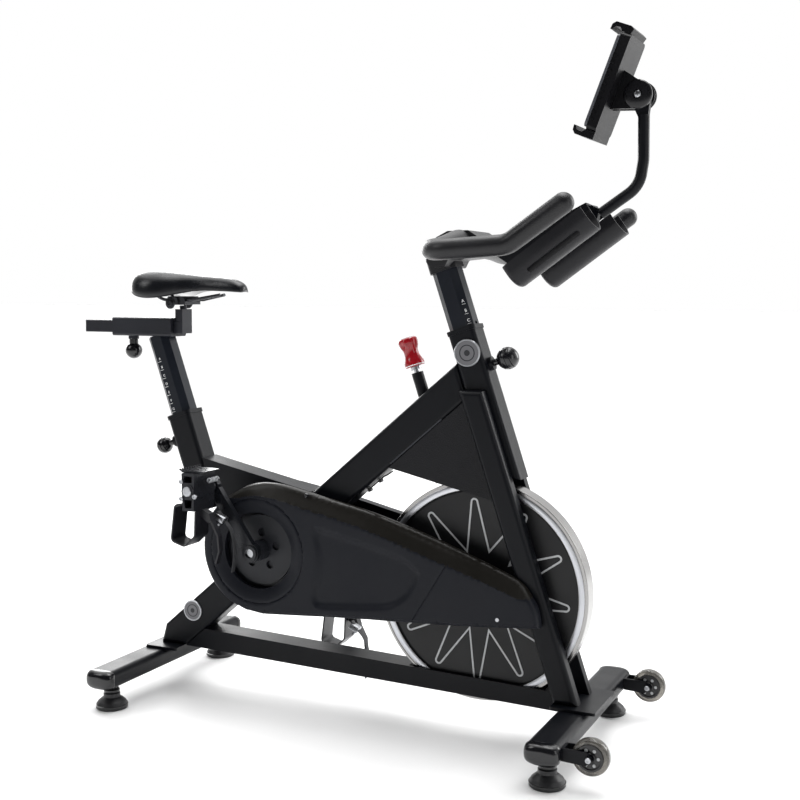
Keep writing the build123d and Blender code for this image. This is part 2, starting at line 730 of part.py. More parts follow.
# ---------------------------------------------------------------- cradles and their spine
CR_DEG = 36.0
cr = radians(CR_DEG)
with BuildPart() as cradle_spine:
    with BuildSketch(side()):
        with BuildLine():
            Polyline((788.357, 993), (789.571, 1010), (850, 1012), (990, 1082), (1016, 1070), (1012, 1040), (890, 950), (846, 958), close=True)
        make_face()
    extrude(amount=9, both=True)
    for px, pz in ((901.7, 971.6), (974.5, 1024.5)):
        with BuildSketch(Plane(origin=at(px, 0, pz), x_dir=(cos(cr), 0, sin(cr)), z_dir=(0, -1, 0))):
            Rectangle(26, 14)
        extrude(amount=70.95, both=True)
    # folded bracket the tablet arm stands in
    with BuildSketch(Plane(origin=at(989.6, 0, 1054.5), x_dir=(cos(cr), 0, sin(cr)), z_dir=(0, -1, 0))):
        Rectangle(44, 26)
    extrude(amount=40, both=True)
    for y in (23, -23):
        with BuildSketch(Plane(origin=at(989.6, y, 1054.5), x_dir=(cos(cr), 0, sin(cr)), z_dir=(0, -1, 0))):
            with Locations((0, -3)):
                Rectangle(50, 26)
        extrude(amount=14, both=True, mode=Mode.SUBTRACT)
cradle_spine.part.label = "cradle_spine"
export_step(cradle_spine.part, "parts/cradle_spine.step")

CR_Y, CR_R, CR_LEN = 104.0, 33.0, 188.0
for nm, sgn, cx, cz in (("cradle_right", -1, 874.0, 941.6), ("cradle_left", 1, 874.0, 941.6)):
    with BuildPart() as cradle:
        axis_pl = Plane(origin=at(cx, sgn * CR_Y, cz), x_dir=(0, 1, 0), z_dir=(cos(cr), 0, sin(cr)))
        with BuildSketch(axis_pl):
            with Locations((0, 20)):
                SlotOverall(106, 2 * CR_R, rotation=90)
        extrude(amount=CR_LEN)
        end_face = cradle.faces().filter_by(GeomType.PLANE).sort_by(lambda f: (f.center() - axis_pl.origin).dot(axis_pl.z_dir))[0]
        fillet(end_face.edges(), 11)
        with BuildSketch(axis_pl.offset(7)):
            Circle(CR_R - 3.5)
            with Locations((0, 20)):
                Rectangle(2 * CR_R - 7, 40)
        extrude(amount=CR_LEN, mode=Mode.SUBTRACT)
        # open top of the trough
        with BuildSketch(Plane(origin=at(cx, sgn * CR_Y, cz) + Vector(-sin(cr), 0, cos(cr)) * 16, x_dir=(cos(cr), 0, sin(cr)), z_dir=(-sin(cr), 0, cos(cr)))):
            with Locations((CR_LEN / 2, 0)):
                Rectangle(CR_LEN + 40, 90)
        extrude(amount=70, mode=Mode.SUBTRACT)
        # long slot low in the outer wall
        with BuildSketch(Plane(origin=at(cx, sgn * CR_Y, cz), x_dir=(cos(cr), 0, sin(cr)), z_dir=(0, sgn, 0)).offset(10)):
            with Locations((99, 19 if sgn > 0 else -19)):
                SlotOverall(122, 10)
        extrude(amount=40, mode=Mode.SUBTRACT)
    cradle.part.label = nm
    export_step(cradle.part, "parts/" + nm + ".step")

with BuildPart() as tablet_arm:
    with BuildLine():
        FilletPolyline(at(1018, 0, 1060.5), at(1092, 0, 1111), at(1099, 0, 1160), at(1098, 0, 1244), radius=55)
    with BuildSketch(Plane(origin=at(1018, 0, 1060.5), z_dir=(74, 0, 50.5))):
        Circle(11)
    sweep()
    # flat eye that carries the tilt screw
    with BuildSketch(side()):
        with Locations((1090, 1280)):
            Circle(22)
        Polygon((1089, 1238), (1107, 1238), (1112, 1282), (1074, 1270), align=None)
    extrude(amount=7, both=True)
    with BuildSketch(side()):
        with Locations((1090, 1280)):
            Circle(5 + RUN)
    extrude(amount=12, both=True, mode=Mode.SUBTRACT)
tablet_arm.part.label = "tablet_arm"
export_step(tablet_arm.part, "parts/tablet_arm.step")

# ---------------------------------------------------------------- tablet holder
HOLD = Plane(origin=at(1003, 0, 1208), x_dir=(0, -1, 0), z_dir=(-0.934, 0, 0.358))   # local y runs up the holder, z faces the rider
with BuildPart() as holder_frame:
    with BuildSketch(HOLD.offset(-14)):
        with Locations((0, 100)):
            RectangleRounded(108, 186, 8)
    extrude(amount=20)
    with BuildSketch(HOLD.offset(-4)):
        with Locations((0, 100)):
            RectangleRounded(96, 174, 5)
    extrude(amount=12, mode=Mode.SUBTRACT)
    # slot for the sliding jaw's tongue
    with BuildSketch(HOLD.offset(-1)):
        with Locations((0, 190)):
            Rectangle(40, 14)
    extrude(amount=4.4, mode=Mode.SUBTRACT)
    # fixed lower jaw
    with BuildSketch(Plane(origin=at(1003, 0, 1208), x_dir=HOLD.y_dir, z_dir=(0, -1, 0))):
        Polygon((-8, -13.9), (-8, 24), (-2, 30), (8, 31), (8, 27), (1, 23), (0, 18), (0, 11), (7.1, 5.9), (7.1, -13.9), align=None)
    extrude(amount=50, both=True)
    # knuckle ears either side of the arm's eye, and the tilt screw
    for y in (-12, 12):
        with BuildSketch(side(y)):
            Polygon((1036, 1256), (1063, 1326), (1092, 1306), (1108, 1290), (1108, 1270), (1086, 1254), align=None)
            with Locations((1090, 1280)):
                Circle(26)
        extrude(amount=4, both=True)
    with BuildSketch(side()):
        with Locations((1090, 1280)):
            Circle(5)
    extrude(amount=19, both=True)
    for y in (-18, 18):
        with BuildSketch(side(y)):
            with Locations((1090, 1280)):
                Circle(10)
        extrude(amount=2, both=True)
holder_frame.part.label = "holder_frame"
export_step(holder_frame.part, "parts/holder_frame.step")

with BuildPart() as holder_pad:
    with BuildSketch(HOLD.offset(6)):
        with Locations((0, 100)):
            RectangleRounded(112, 178, 9)
            with Locations((0, 30), (0, -30)):
                SlotOverall(60, 12, mode=Mode.SUBTRACT)
    extrude(amount=5)
holder_pad.part.label = "holder_pad"
export_step(holder_pad.part, "parts/holder_pad.step")

with BuildPart() as holder_jaw:
    with BuildSketch(Plane(origin=at(1003, 0, 1208), x_dir=HOLD.y_dir, z_dir=(0, -1, 0))):
        Polygon((193.6, -10), (204, -13), (208, -6), (208, 24), (202, 30), (192, 31), (192, 27), (199, 23), (200, 18), (200, 12), (193.6, 8), align=None)
    extrude(amount=48, both=True)
    with BuildSketch(HOLD.offset(-0.4)):
        with Locations((0, 170)):
            Rectangle(39, 52)
    extrude(amount=3.2)
holder_jaw.part.label = "holder_jaw"
export_step(holder_jaw.part, "parts/holder_jaw.step")

# ---------------------------------------------------------------- brake rod, pad and cap
with BuildPart() as brake_rod:
    with BuildSketch(along(BRAKE, 44)):
        Circle(6)
    extrude(amount=-222)
    with BuildSketch(along(BRAKE, 48.5)):
        Circle(11)
        Circle(6, mode=Mode.SUBTRACT)
    extrude(amount=6)
    with BuildSketch(along(BRAKE, 44)):
        Circle(6)
    extrude(amount=30)
brake_rod.part.label = "brake_rod"
export_step(brake_rod.part, "parts/brake_rod.step")

with BuildPart() as brake_pad:
    with BuildSketch(side()):
        Polygon((676, 524.5), (690, 536), (724, 548), (728, 538), (704, 527), (681, 512.5), align=None)
    extrude(amount=10, both=True)
    with BuildSketch(side()):
        with Locations((FLY_X, FLY_Z)):
            Circle(FLY_R + 5.0)
    extrude(amount=30, both=True, mode=Mode.SUBTRACT)
    with BuildSketch(along(BRAKE, -60)):
        Circle(6)
    extrude(amount=-118, mode=Mode.SUBTRACT)
brake_pad.part.label = "brake_pad"
export_step(brake_pad.part, "parts/brake_pad.step")

with BuildPart() as brake_cap:
    with BuildSketch(Plane.XZ):
        with BuildLine():
            Polyline((6.05, 0), (19, 0), (21, 3), (20.5, 12), (15.5, 22), (15.5, 32), (20, 42), (22, 50), (21, 58), (17, 62), (0, 62), (0, 20), (6.05, 20), close=True)
        make_face()
    revolve(axis=Axis.Z)
    with BuildSketch(Plane.XY.offset(40)):
        with PolarLocations(24.5, 8):
            Circle(5)
    extrude(amount=22, mode=Mode.SUBTRACT)
cap_at = along(BRAKE, 55.0)
brake_cap_part = brake_cap.part.moved(cap_at.location)
with BuildPart() as brake_cap:
    add(brake_cap_part)
brake_cap.part.label = "brake_cap"
export_step(brake_cap.part, "parts/brake_cap.step")

# ---------------------------------------------------------------- flywheel
with BuildPart() as flywheel_disc:
    with BuildSketch(side()):
        with Locations((FLY_X, FLY_Z)):
            Circle(209)
            Circle(8.5 + RUN, mode=Mode.SUBTRACT)
    extrude(amount=16, both=True)
    with BuildSketch(side()):
        with Locations((FLY_X, FLY_Z)):
            Circle(24)
            Circle(8.5 + RUN, mode=Mode.SUBTRACT)
    extrude(amount=22, both=True)
    # drive side sleeve and small pulley
    with BuildSketch(side(-22)):
        with Locations((FLY_X, FLY_Z)):
            Circle(18)
            Circle(8.5 + RUN, mode=Mode.SUBTRACT)
    extrude(amount=34)
    with BuildSketch(side(-43)):
        with Locations((FLY_X, FLY_Z)):
            Circle(28)
            Circle(8.5 + RUN, mode=Mode.SUBTRACT)
    extrude(amount=12)
    with BuildSketch(side(22)):
        with Locations((FLY_X, FLY_Z)):
            Circle(14)
            Circle(8.5 + RUN, mode=Mode.SUBTRACT)
    extrude(amount=-34)
flywheel_disc.part.label = "flywheel_disc"
export_step(flywheel_disc.part, "parts/flywheel_disc.step")

with BuildPart() as flywheel_rim:
    with BuildSketch(side()):
        with Locations((FLY_X, FLY_Z)):
            Circle(FLY_R)
            Circle(209, mode=Mode.SUBTRACT)
    extrude(amount=20, both=True)
    fillet(flywheel_rim.edges().filter_by(GeomType.CIRCLE).sort_by(SortBy.RADIUS)[-2:], 1.5)
    # turned groove near the edge of each face
    for y, s_ in ((-20, 1), (20, -1)):
        with BuildSketch(side(y)):
            with Locations((FLY_X, FLY_Z)):
                Circle(224)
                Circle(221.5, mode=Mode.SUBTRACT)
        extrude(amount=-s_ * 1.2, mode=Mode.SUBTRACT)
flywheel_rim.part.label = "flywheel_rim"
export_step(flywheel_rim.part, "parts/flywheel_rim.step")

# ---------------------------------------------------------------- crankset
with BuildPart() as crank_axle:
    with BuildSketch(side()):
        with Locations((BB_X, BB_Z)):
            Circle(10)
    extrude(amount=108, both=True)
crank_axle.part.label = "crank_axle"
export_step(crank_axle.part, "parts/crank_axle.step")

with BuildPart() as chain_wheel:
    with BuildSketch(side(-43)):
        with Locations((BB_X, BB_Z)):
            Circle(R_BIG)
            Circle(10, mode=Mode.SUBTRACT)
    extrude(amount=12)
    with BuildSketch(side(-55)):
        with Locations((BB_X, BB_Z)):
            Circle(77)
            Circle(10, mode=Mode.SUBTRACT)
            with PolarLocations(38, 5, start_angle=CRANK_DEG + 36):
                Circle(9, mode=Mode.SUBTRACT)
    extrude(amount=7)
    with BuildSketch(side(-43)):
        with Locations((BB_X, BB_Z)):
            Circle(94)
            Circle(26, mode=Mode.SUBTRACT)
    extrude(amount=8, mode=Mode.SUBTRACT)
    with BuildSketch(side(-62)):
        with Locations((BB_X, BB_Z)):
            Circle(22)
            Circle(10, mode=Mode.SUBTRACT)
    extrude(amount=33)
chain_wheel.part.label = "chain_wheel"
export_step(chain_wheel.part, "parts/chain_wheel.step")

ca = radians(CRANK_DEG)
for nm, sgn, ang in (("crank_right", -1, CRANK_DEG), ("crank_left", 1, CRANK_DEG + 180)):
    a = radians(ang)
    pxl, pzl = BB_X + CRANK * cos(a), BB_Z + CRANK * sin(a)
    with BuildPart() as crank_arm:
        with BuildSketch(Plane(origin=at(BB_X, sgn * 95, BB_Z), x_dir=(cos(a), 0, sin(a)), z_dir=(0, sgn, 0))):
            Circle(20)
            Polygon((0, 16), (CRANK - 12, 12.5), (CRANK - 12, -12.5), (0, -16), align=None)
            with Locations((CRANK, 0)):
                Circle(15)
            Circle(10, mode=Mode.SUBTRACT)
            with Locations((CRANK, 0)):
                Circle(7, mode=Mode.SUBTRACT)
        extrude(amount=14)
        with BuildSketch(side(sgn * 109)):
            with Locations((BB_X, BB_Z)):
                Circle(17)
                Circle(10, mode=Mode.SUBTRACT)
        extrude(amount=-sgn * 4)
        # pedal spindle and its flange
        with BuildSketch(side(sgn * 95)):
            with Locations((pxl, pzl)):
                Circle(7)
        extrude(amount=-sgn * 108)
        with BuildSketch(side(sgn * 109)):
            with Locations((pxl, pzl)):
                Circle(11)
        extrude(amount=-sgn * 5.3)
    crank_arm.part.label = nm
    export_step(crank_arm.part, "parts/" + nm + ".step")

# ---------------------------------------------------------------- pedals: spindle, block, toe cage with strap
for tag, sgn, ang in (("right", -1, CRANK_DEG), ("left", 1, CRANK_DEG + 180)):
    a = radians(ang)
    px0, pz0 = BB_X + CRANK * cos(a), BB_Z + CRANK * sin(a)
    # the pedal hangs with its tread upright and the cage below
    with BuildPart() as pedal:
        with BuildSketch(side(sgn * 118)):
            with Locations((px0, pz0)):
                Circle(15)
        extrude(amount=-sgn * 84)
        with BuildSketch(side(sgn * 122)):
            Polygon((px0 - 14, pz0 - 42), (px0 - 16, pz0 + 38), (px0 + 16, pz0 + 38), (px0 + 14, pz0 - 42), align=None)
            Polygon((px0 - 8, pz0 - 36), (px0 - 10, pz0 - 18), (px0 + 10, pz0 - 18), (px0 + 8, pz0 - 36), align=None, mode=Mode.SUBTRACT)
            Polygon((px0 - 10, pz0 + 18), (px0 - 10, pz0 + 32), (px0 + 10, pz0 + 32), (px0 + 10, pz0 + 18), align=None, mode=Mode.SUBTRACT)
        extrude(amount=-sgn * 78)
        with BuildSketch(side(sgn * 110)):
            with Locations((px0, pz0)):
                Circle(7 + RUN)
        extrude(amount=-sgn * 94.0, mode=Mode.SUBTRACT)
        # pale clip plate on the top end
        with BuildSketch(side(sgn * 132)):
            Polygon((px0 - 22, pz0 + 38), (px0 + 24, pz0 + 38), (px0 + 34, pz0 + 42), (px0 - 26, pz0 + 44), align=None)
        extrude(amount=-sgn * 58)
    pedal.part.label = "pedal_" + tag
    export_step(pedal.part, "parts/pedal_" + tag + ".step")

    with BuildPart() as cage:
        # hooped toe cage: front loop and back strap as a closed band
        with BuildSketch(side(sgn * 136)):
            with BuildLine():
                FilletPolyline((px0 - 16.6, pz0 - 30), (px0 - 44, pz0 - 34), (px0 - 54, pz0 - 112), (px0 - 20, pz0 - 122), (px0 + 6, pz0 - 98), (px0 + 8, pz0 - 44.4), radius=10)
                offset(amount=1.8, side=Side.BOTH)
            make_face()
        extrude(amount=-sgn * 50)
        # buckle and hanging strap tail
        with BuildSketch(side(sgn * 150)):
            Polygon((px0 + 14.8, pz0 - 42.4), (px0 + 30, pz0 - 50), (px0 + 36, pz0 - 66), (px0 + 28, pz0 - 70), (px0 + 7.9, pz0 - 56), (px0 + 7.9, pz0 - 42.4), align=None)
        extrude(amount=-sgn * 18)
        with BuildSketch(side(sgn * 152)):
            Polygon((px0 + 30, pz0 - 66), (px0 + 36, pz0 - 66), (px0 + 52, pz0 - 96), (px0 + 55, pz0 - 130), (px0 + 46, pz0 - 158), (px0 + 43, pz0 - 156), (px0 + 51, pz0 - 130), (px0 + 48, pz0 - 98), align=None)
        extrude(amount=-sgn * 14)
    cage.part.label = "toe_cage_" + tag
    export_step(cage.part, "parts/toe_cage_" + tag + ".step")

# ---------------------------------------------------------------- transport wheels
for tag, sgn in (("right", -1), ("left", 1)):
    with BuildPart() as wheel:
        with BuildSketch(side(sgn * WHEEL_Y)):
            with Locations((WHEEL_X, WHEEL_Z)):
                Circle(WHEEL_R)
                Circle(4 + RUN, mode=Mode.SUBTRACT)
        extrude(amount=12, both=True)
        fillet(wheel.edges().filter_by(GeomType.CIRCLE).sort_by(SortBy.RADIUS)[-2:], 4)
        for y, s_ in ((-12, 1), (12, -1)):
            with BuildSketch(side(sgn * WHEEL_Y + y)):
                with Locations((WHEEL_X, WHEEL_Z)):
                    Circle(24)
                    Circle(10, mode=Mode.SUBTRACT)
            extrude(amount=-s_ * 5, mode=Mode.SUBTRACT)
        with BuildSketch(side(sgn * WHEEL_Y)):
            with Locations((WHEEL_X, WHEEL_Z)):
                with PolarLocations(17, 6):
                    Circle(4.5)
        extrude(amount=14, both=True, mode=Mode.SUBTRACT)
    wheel.part.label = "transport_wheel_" + tag
    export_step(wheel.part, "parts/transport_wheel_" + tag + ".step")

# ---------------------------------------------------------------- levelling feet
for tag, fx, fy in (("rear_right", 0, -215), ("rear_left", 0, 215), ("front_right", WHEELBASE, -218), ("front_left", WHEELBASE, 218)):
    with BuildPart() as foot:
        with BuildSketch(Plane(origin=at(fx, fy, 0), x_dir=(1, 0, 0), z_dir=(0, -1, 0))):
            with BuildLine():
                Polyline((0, 0), (FOOT_R - 2, 0), (FOOT_R, 2.5), (FOOT_R, 8), (30, 16), (22, 22.5), (18, 25), (18, 33), (14, 35), (6, 35), (6, 84), (0, 84), close=True)
            make_face()
        revolve(axis=Axis(at(fx, fy, 0), (0, 0, 1)))
        with BuildSketch(level(38)):
            with Locations((fx, fy)):
                RegularPolygon(12, 6)
        extrude(amount=7)
    foot.part.label = "foot_" + tag
    export_step(foot.part, "parts/foot_" + tag + ".step")
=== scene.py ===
import math

import bmesh
import bpy
from mathutils.bvhtree import BVHTree
import numpy as np
from mathutils import Matrix, Vector
from mathutils.geometry import delaunay_2d_cdt

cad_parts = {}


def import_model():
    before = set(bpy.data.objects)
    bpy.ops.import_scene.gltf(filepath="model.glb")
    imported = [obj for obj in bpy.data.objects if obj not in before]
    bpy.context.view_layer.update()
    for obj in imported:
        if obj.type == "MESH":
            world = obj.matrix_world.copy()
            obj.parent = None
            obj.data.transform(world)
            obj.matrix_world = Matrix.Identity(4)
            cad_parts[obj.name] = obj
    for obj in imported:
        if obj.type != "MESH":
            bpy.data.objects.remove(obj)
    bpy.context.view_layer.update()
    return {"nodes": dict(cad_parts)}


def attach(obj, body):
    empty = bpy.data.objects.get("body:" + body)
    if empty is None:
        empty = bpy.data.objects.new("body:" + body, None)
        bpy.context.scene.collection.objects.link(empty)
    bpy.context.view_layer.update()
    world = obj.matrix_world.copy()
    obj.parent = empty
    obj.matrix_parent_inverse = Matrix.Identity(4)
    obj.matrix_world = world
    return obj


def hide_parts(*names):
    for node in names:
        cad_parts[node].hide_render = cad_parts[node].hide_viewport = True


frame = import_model()

XC = 0.4521


def W(x, y, z):
    """millimetres with x counted from the rear stabiliser, to the row frame in metres"""
    return Vector((x / 1000.0 - XC, y / 1000.0, z / 1000.0))


# ------------------------------------------------------------------ materials
def material(name, base, rough, metallic=0.0, vary=0.15, grain=900.0, bump=0.06, bump_scale=None,
             coat=0.0, coat_rough=0.2, spec=0.5, rough_vary=0.08, tint=None, trans=0.0, ior=1.45,
             sheen=0.0, alpha=1.0, stretch=None, dust=0.0):
    m = bpy.data.materials.new(name)
    m.use_nodes = True
    nt = m.node_tree
    b = nt.nodes["Principled BSDF"]
    tc = nt.nodes.new("ShaderNodeTexCoord")
    src = tc.outputs["Object"]
    if stretch:
        mp = nt.nodes.new("ShaderNodeMapping")
        mp.inputs["Scale"].default_value = stretch
        nt.links.new(src, mp.inputs["Vector"])
        src = mp.outputs["Vector"]
    # slow colour variation
    n1 = nt.nodes.new("ShaderNodeTexNoise")
    n1.inputs["Scale"].default_value = 9.0
    n1.inputs["Detail"].default_value = 5.0
    nt.links.new(src, n1.inputs["Vector"])
    # fine grain
    n2 = nt.nodes.new("ShaderNodeTexNoise")
    n2.inputs["Scale"].default_value = grain
    n2.inputs["Detail"].default_value = 3.0
    nt.links.new(src, n2.inputs["Vector"])
    mix = nt.nodes.new("ShaderNodeMix")
    mix.data_type = "RGBA"
    dark = [c * (1.0 - vary) for c in base[:3]] + [1.0]
    lite = [min(1.0, c * (1.0 + vary)) for c in (tint or base)[:3]] + [1.0]
    mix.inputs["A"].default_value = dark
    mix.inputs["B"].default_value = lite
    add = nt.nodes.new("ShaderNodeMath")
    add.operation = "MULTIPLY_ADD"
    nt.links.new(n1.outputs["Fac"], add.inputs[0])
    add.inputs[1].default_value = 0.75
    sc = nt.nodes.new("ShaderNodeMath")
    sc.operation = "MULTIPLY"
    nt.links.new(n2.outputs["Fac"], sc.inputs[0])
    sc.inputs[1].default_value = 0.3
    nt.links.new(sc.outputs[0], add.inputs[2])
    nt.links.new(add.outputs[0], mix.inputs["Factor"])
    nt.links.new(mix.outputs["Result"], b.inputs["Base Color"])
    mr = nt.nodes.new("ShaderNodeMapRange")
    mr.inputs["From Min"].default_value = 0.25
    mr.inputs["From Max"].default_value = 0.75
    mr.inputs["To Min"].default_value = max(0.02, rough - rough_vary)
    mr.inputs["To Max"].default_value = min(1.0, rough + rough_vary)
    nt.links.new(n1.outputs["Fac"], mr.inputs["Value"])
    nt.links.new(mr.outputs["Result"], b.inputs["Roughness"])
    if bump > 0:
        bp = nt.nodes.new("ShaderNodeBump")
        bp.inputs["Strength"].default_value = bump
        bp.inputs["Distance"].default_value = 0.0006
        if bump_scale:
            n3 = nt.nodes.new("ShaderNodeTexVoronoi")
            n3.inputs["Scale"].default_value = bump_scale
            nt.links.new(src, n3.inputs["Vector"])
            nt.links.new(n3.outputs["Distance"], bp.inputs["Height"])
        else:
            nt.links.new(n2.outputs["Fac"], bp.inputs["Height"])
        nt.links.new(bp.outputs["Normal"], b.inputs["Normal"])
    b.inputs["Metallic"].default_value = metallic
    b.inputs["Specular IOR Level"].default_value = spec
    b.inputs["Coat Weight"].default_value = coat
    b.inputs["Coat Roughness"].default_value = coat_rough
    b.inputs["IOR"].default_value = ior
    b.inputs["Transmission Weight"].default_value = trans
    b.inputs["Sheen Weight"].default_value = sheen
    b.inputs["Alpha"].default_value = alpha
    return m


M = {
    "powder": material("powder_black", (0.0035, 0.004, 0.0058), 0.38, vary=0.25, grain=1500, bump=0.22, spec=0.20),
    "crinkle": material("gusset_crinkle", (0.006, 0.0062, 0.008), 0.44, vary=0.4, grain=700, bump=0.9, bump_scale=520.0, spec=0.26),
    "post": material("post_grey", (0.006, 0.008, 0.013), 0.33, vary=0.25, grain=1500, bump=0.10, spec=0.26),
    "rail": material("rail_grey", (0.012, 0.013, 0.018), 0.42, vary=0.35, grain=1100, bump=0.6, spec=0.3),
    "guard": material("guard_black", (0.006, 0.007, 0.011), 0.44, vary=0.2, grain=2300, bump=0.25, spec=0.22),
    "band": material("guard_band", (0.009, 0.008, 0.0065), 0.34, vary=0.25, grain=2300, bump=0.2, spec=0.3),
    "cap": material("cap_black", (0.005, 0.005, 0.0065), 0.20, vary=0.2, bump=0.03, spec=0.5, coat=0.25, coat_rough=0.12),
    "rubber": material("bar_rubber", (0.009, 0.009, 0.0105), 0.36, vary=0.2, grain=1200, bump=0.3, spec=0.4),
    "cradle": material("cradle_black", (0.009, 0.009, 0.011), 0.42, vary=0.25, grain=1600, bump=0.35, spec=0.28),
    "vinyl": material("saddle_vinyl", (0.0045, 0.005, 0.0068), 0.24, vary=0.3, grain=1500, bump=0.22, bump_scale=900.0, spec=0.5),
    "steel": material("steel_brushed", (0.42, 0.43, 0.45), 0.30, 1.0, vary=0.12, grain=700, bump=0.08, stretch=(1, 12, 1)),
    "darksteel": material("steel_blacked", (0.035, 0.036, 0.04), 0.25, 0.7, vary=0.2, grain=700, bump=0.08),
    "chrome": material("rim_polished", (0.33, 0.325, 0.32), 0.24, 1.0, vary=0.06, grain=500, bump=0.02, rough_vary=0.05),
    "machined": material("band_machined", (0.55, 0.56, 0.59), 0.36, 1.0, vary=0.10, grain=900, bump=0.08),
    "disc": material("disc_black", (0.0045, 0.0045, 0.0055), 0.40, vary=0.3, grain=800, bump=0.10, spec=0.4),
    "print": material("print_silver", (0.50, 0.51, 0.52), 0.42, 0.1, vary=0.10, grain=900, bump=0.02),
    "white": material("print_white", (0.85, 0.86, 0.87), 0.5, 0.0, vary=0.05, grain=900, bump=0.02),
    "crank": material("crank_black", (0.010, 0.011, 0.014), 0.28, 0.3, vary=0.2, grain=900, bump=0.06, spec=0.5),
    "wheel_black": material("pulley_black", (0.012, 0.013, 0.017), 0.42, vary=0.15, grain=1800, bump=0.12, spec=0.4),
    "pedal": material("pedal_metal", (0.016, 0.017, 0.021), 0.32, 0.4, vary=0.25, grain=900, bump=0.12),
    "cage": material("cage_black", (0.010, 0.010, 0.013), 0.36, vary=0.2, grain=1300, bump=0.15),
    "strap": material("strap_web", (0.030, 0.031, 0.034), 0.6, vary=0.2, grain=700, bump=0.6, bump_scale=1400.0),
    "red": material("knob_red", (0.30, 0.003, 0.009), 0.24, vary=0.12, grain=600, bump=0.03, coat=0.4, coat_rough=0.10),
    "badge": material("badge_silver", (0.16, 0.16, 0.17), 0.36, 0.4, vary=0.12, grain=900, bump=0.05),
    # dark print on the badges; the same colour is also painted shade in the tilt screw cross recesses
    "dark_print_and_painted_shade": material("dark_print_and_painted_shade", (0.02, 0.02, 0.024), 0.35, vary=0.1, bump=0.02),
    "clear": material("wheel_clear", (0.24, 0.225, 0.20), 0.12, vary=0.6, grain=210, bump=0.3, trans=0.7, ior=1.49),
    "foot": material("foot_rubber", (0.022, 0.022, 0.024), 0.42, vary=0.2, grain=900, bump=0.25),
    "foot_cap": material("foot_gloss", (0.007, 0.007, 0.008), 0.15, vary=0.2, bump=0.02, coat=0.4),
    "holder": material("holder_grey", (0.075, 0.078, 0.088), 0.22, vary=0.15, grain=700, bump=0.05),
    "pad": material("pad_black", (0.004, 0.004, 0.005), 0.32, vary=0.2, grain=1500, bump=0.2, spec=0.25),
    "weld": material("weld_bead", (0.030, 0.032, 0.038), 0.28, 0.3, vary=0.4, grain=500, bump=0.5),
    "floor": material("floor_white", (0.93, 0.93, 0.93), 0.7, vary=0.01, grain=40, bump=0.0, spec=0.1),
}

NODE_MAT = {
    "seat_tube": "powder", "main_tube": "powder", "upper_beam": "powder", "head_tube": "powder",
    "fork_leg_right": "powder", "fork_leg_left": "powder", "gusset": "crinkle", "bottom_beam": "powder",
    "rear_stabiliser": "powder", "front_stabiliser": "powder", "bar_caps": "cap", "wheel_brackets": "powder",
    "axle_plates": "powder", "flywheel_axle": "steel", "bearing_shell": "steel", "guard_right": "guard",
    "guard_inner": "guard", "guard_left": "guard", "drive_belt": "rubber", "badges": "badge",
    "brake_sleeve": "powder", "sensor_cable": "rubber", "seat_post": "post", "slider_sleeve": "rail",
    "slider_knob": "cap", "saddle_slider": "rail", "saddle_shell": "cap", "saddle_rails": "darksteel",
    "saddle_cushion": "vinyl", "seat_pin": "cap", "head_pin": "cap", "bar_post": "post", "bar_hub": "rubber",
    "handlebar": "rubber", "cradle_spine": "powder", "cradle_right": "cradle", "cradle_left": "cradle",
    "tablet_arm": "powder", "holder_frame": "pad", "holder_pad": "holder", "holder_jaw": "pad",
    "brake_rod": "steel", "brake_pad": "rubber", "brake_cap": "red", "flywheel_disc": "disc",
    "flywheel_rim": "chrome", "crank_axle": "steel", "chain_wheel": "wheel_black", "crank_right": "crank",
    "crank_left": "crank", "pedal_right": "pedal", "pedal_left": "pedal", "toe_cage_right": "cage",
    "toe_cage_left": "cage", "transport_wheel_right": "clear", "transport_wheel_left": "clear",
    "foot_rear_right": "foot", "foot_rear_left": "foot", "foot_front_right": "foot", "foot_front_left": "foot",
}
for node, o in frame["nodes"].items():
    o.data.materials.clear()
    o.data.materials.append(M[NODE_MAT[node]])


# ------------------------------------------------------------------ mesh helpers
def obj(name, verts, faces, mat, body, smooth=True, angle=35.0):
    me = bpy.data.meshes.new(name)
    me.from_pydata([tuple(v) for v in verts], [], faces)
    me.update()
    bm = bmesh.new()
    bm.from_mesh(me)
    bmesh.ops.remove_doubles(bm, verts=bm.verts, dist=1e-6)
    bmesh.ops.recalc_face_normals(bm, faces=bm.faces)
    bm.to_mesh(me)
    bm.free()
    o = bpy.data.objects.new(name, me)
    bpy.context.scene.collection.objects.link(o)
    me.materials.append(M[mat])
    if smooth:
        me.polygons.foreach_set("use_smooth", [True] * len(me.polygons))
        me.set_sharp_from_angle(angle=math.radians(angle))
    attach(o, body)
    return o


def lathe(name, profile, centre, axis, mat, body, seg=64, angle=35.0):
    """profile is (radius, height) in mm along axis from centre"""
    ax = Vector(axis).normalized()
    u = ax.orthogonal().normalized()
    v = ax.cross(u)
    verts, faces = [], []
    n = len(profile)
    for k in range(seg):
        a = 2 * math.pi * k / seg
        d = u * math.cos(a) + v * math.sin(a)
        for r, h in profile:
            verts.append(centre + (d * r + ax * h) / 1000.0)
    for k in range(seg):
        k2 = (k + 1) % seg
        for i in range(n):
            j = (i + 1) % n
            if i == n - 1 and profile[0][0] < 1e-6 and profile[-1][0] < 1e-6:
                continue
            a, b, c, d = k * n + i, k * n + j, k2 * n + j, k2 * n + i
            if profile[i][0] < 1e-6:
                faces.append((a, b, c))
            elif profile[j][0] < 1e-6:
                faces.append((a, b, d))
            else:
                faces.append((a, b, c, d))
    return obj(name, verts, faces, mat, body, angle=angle)


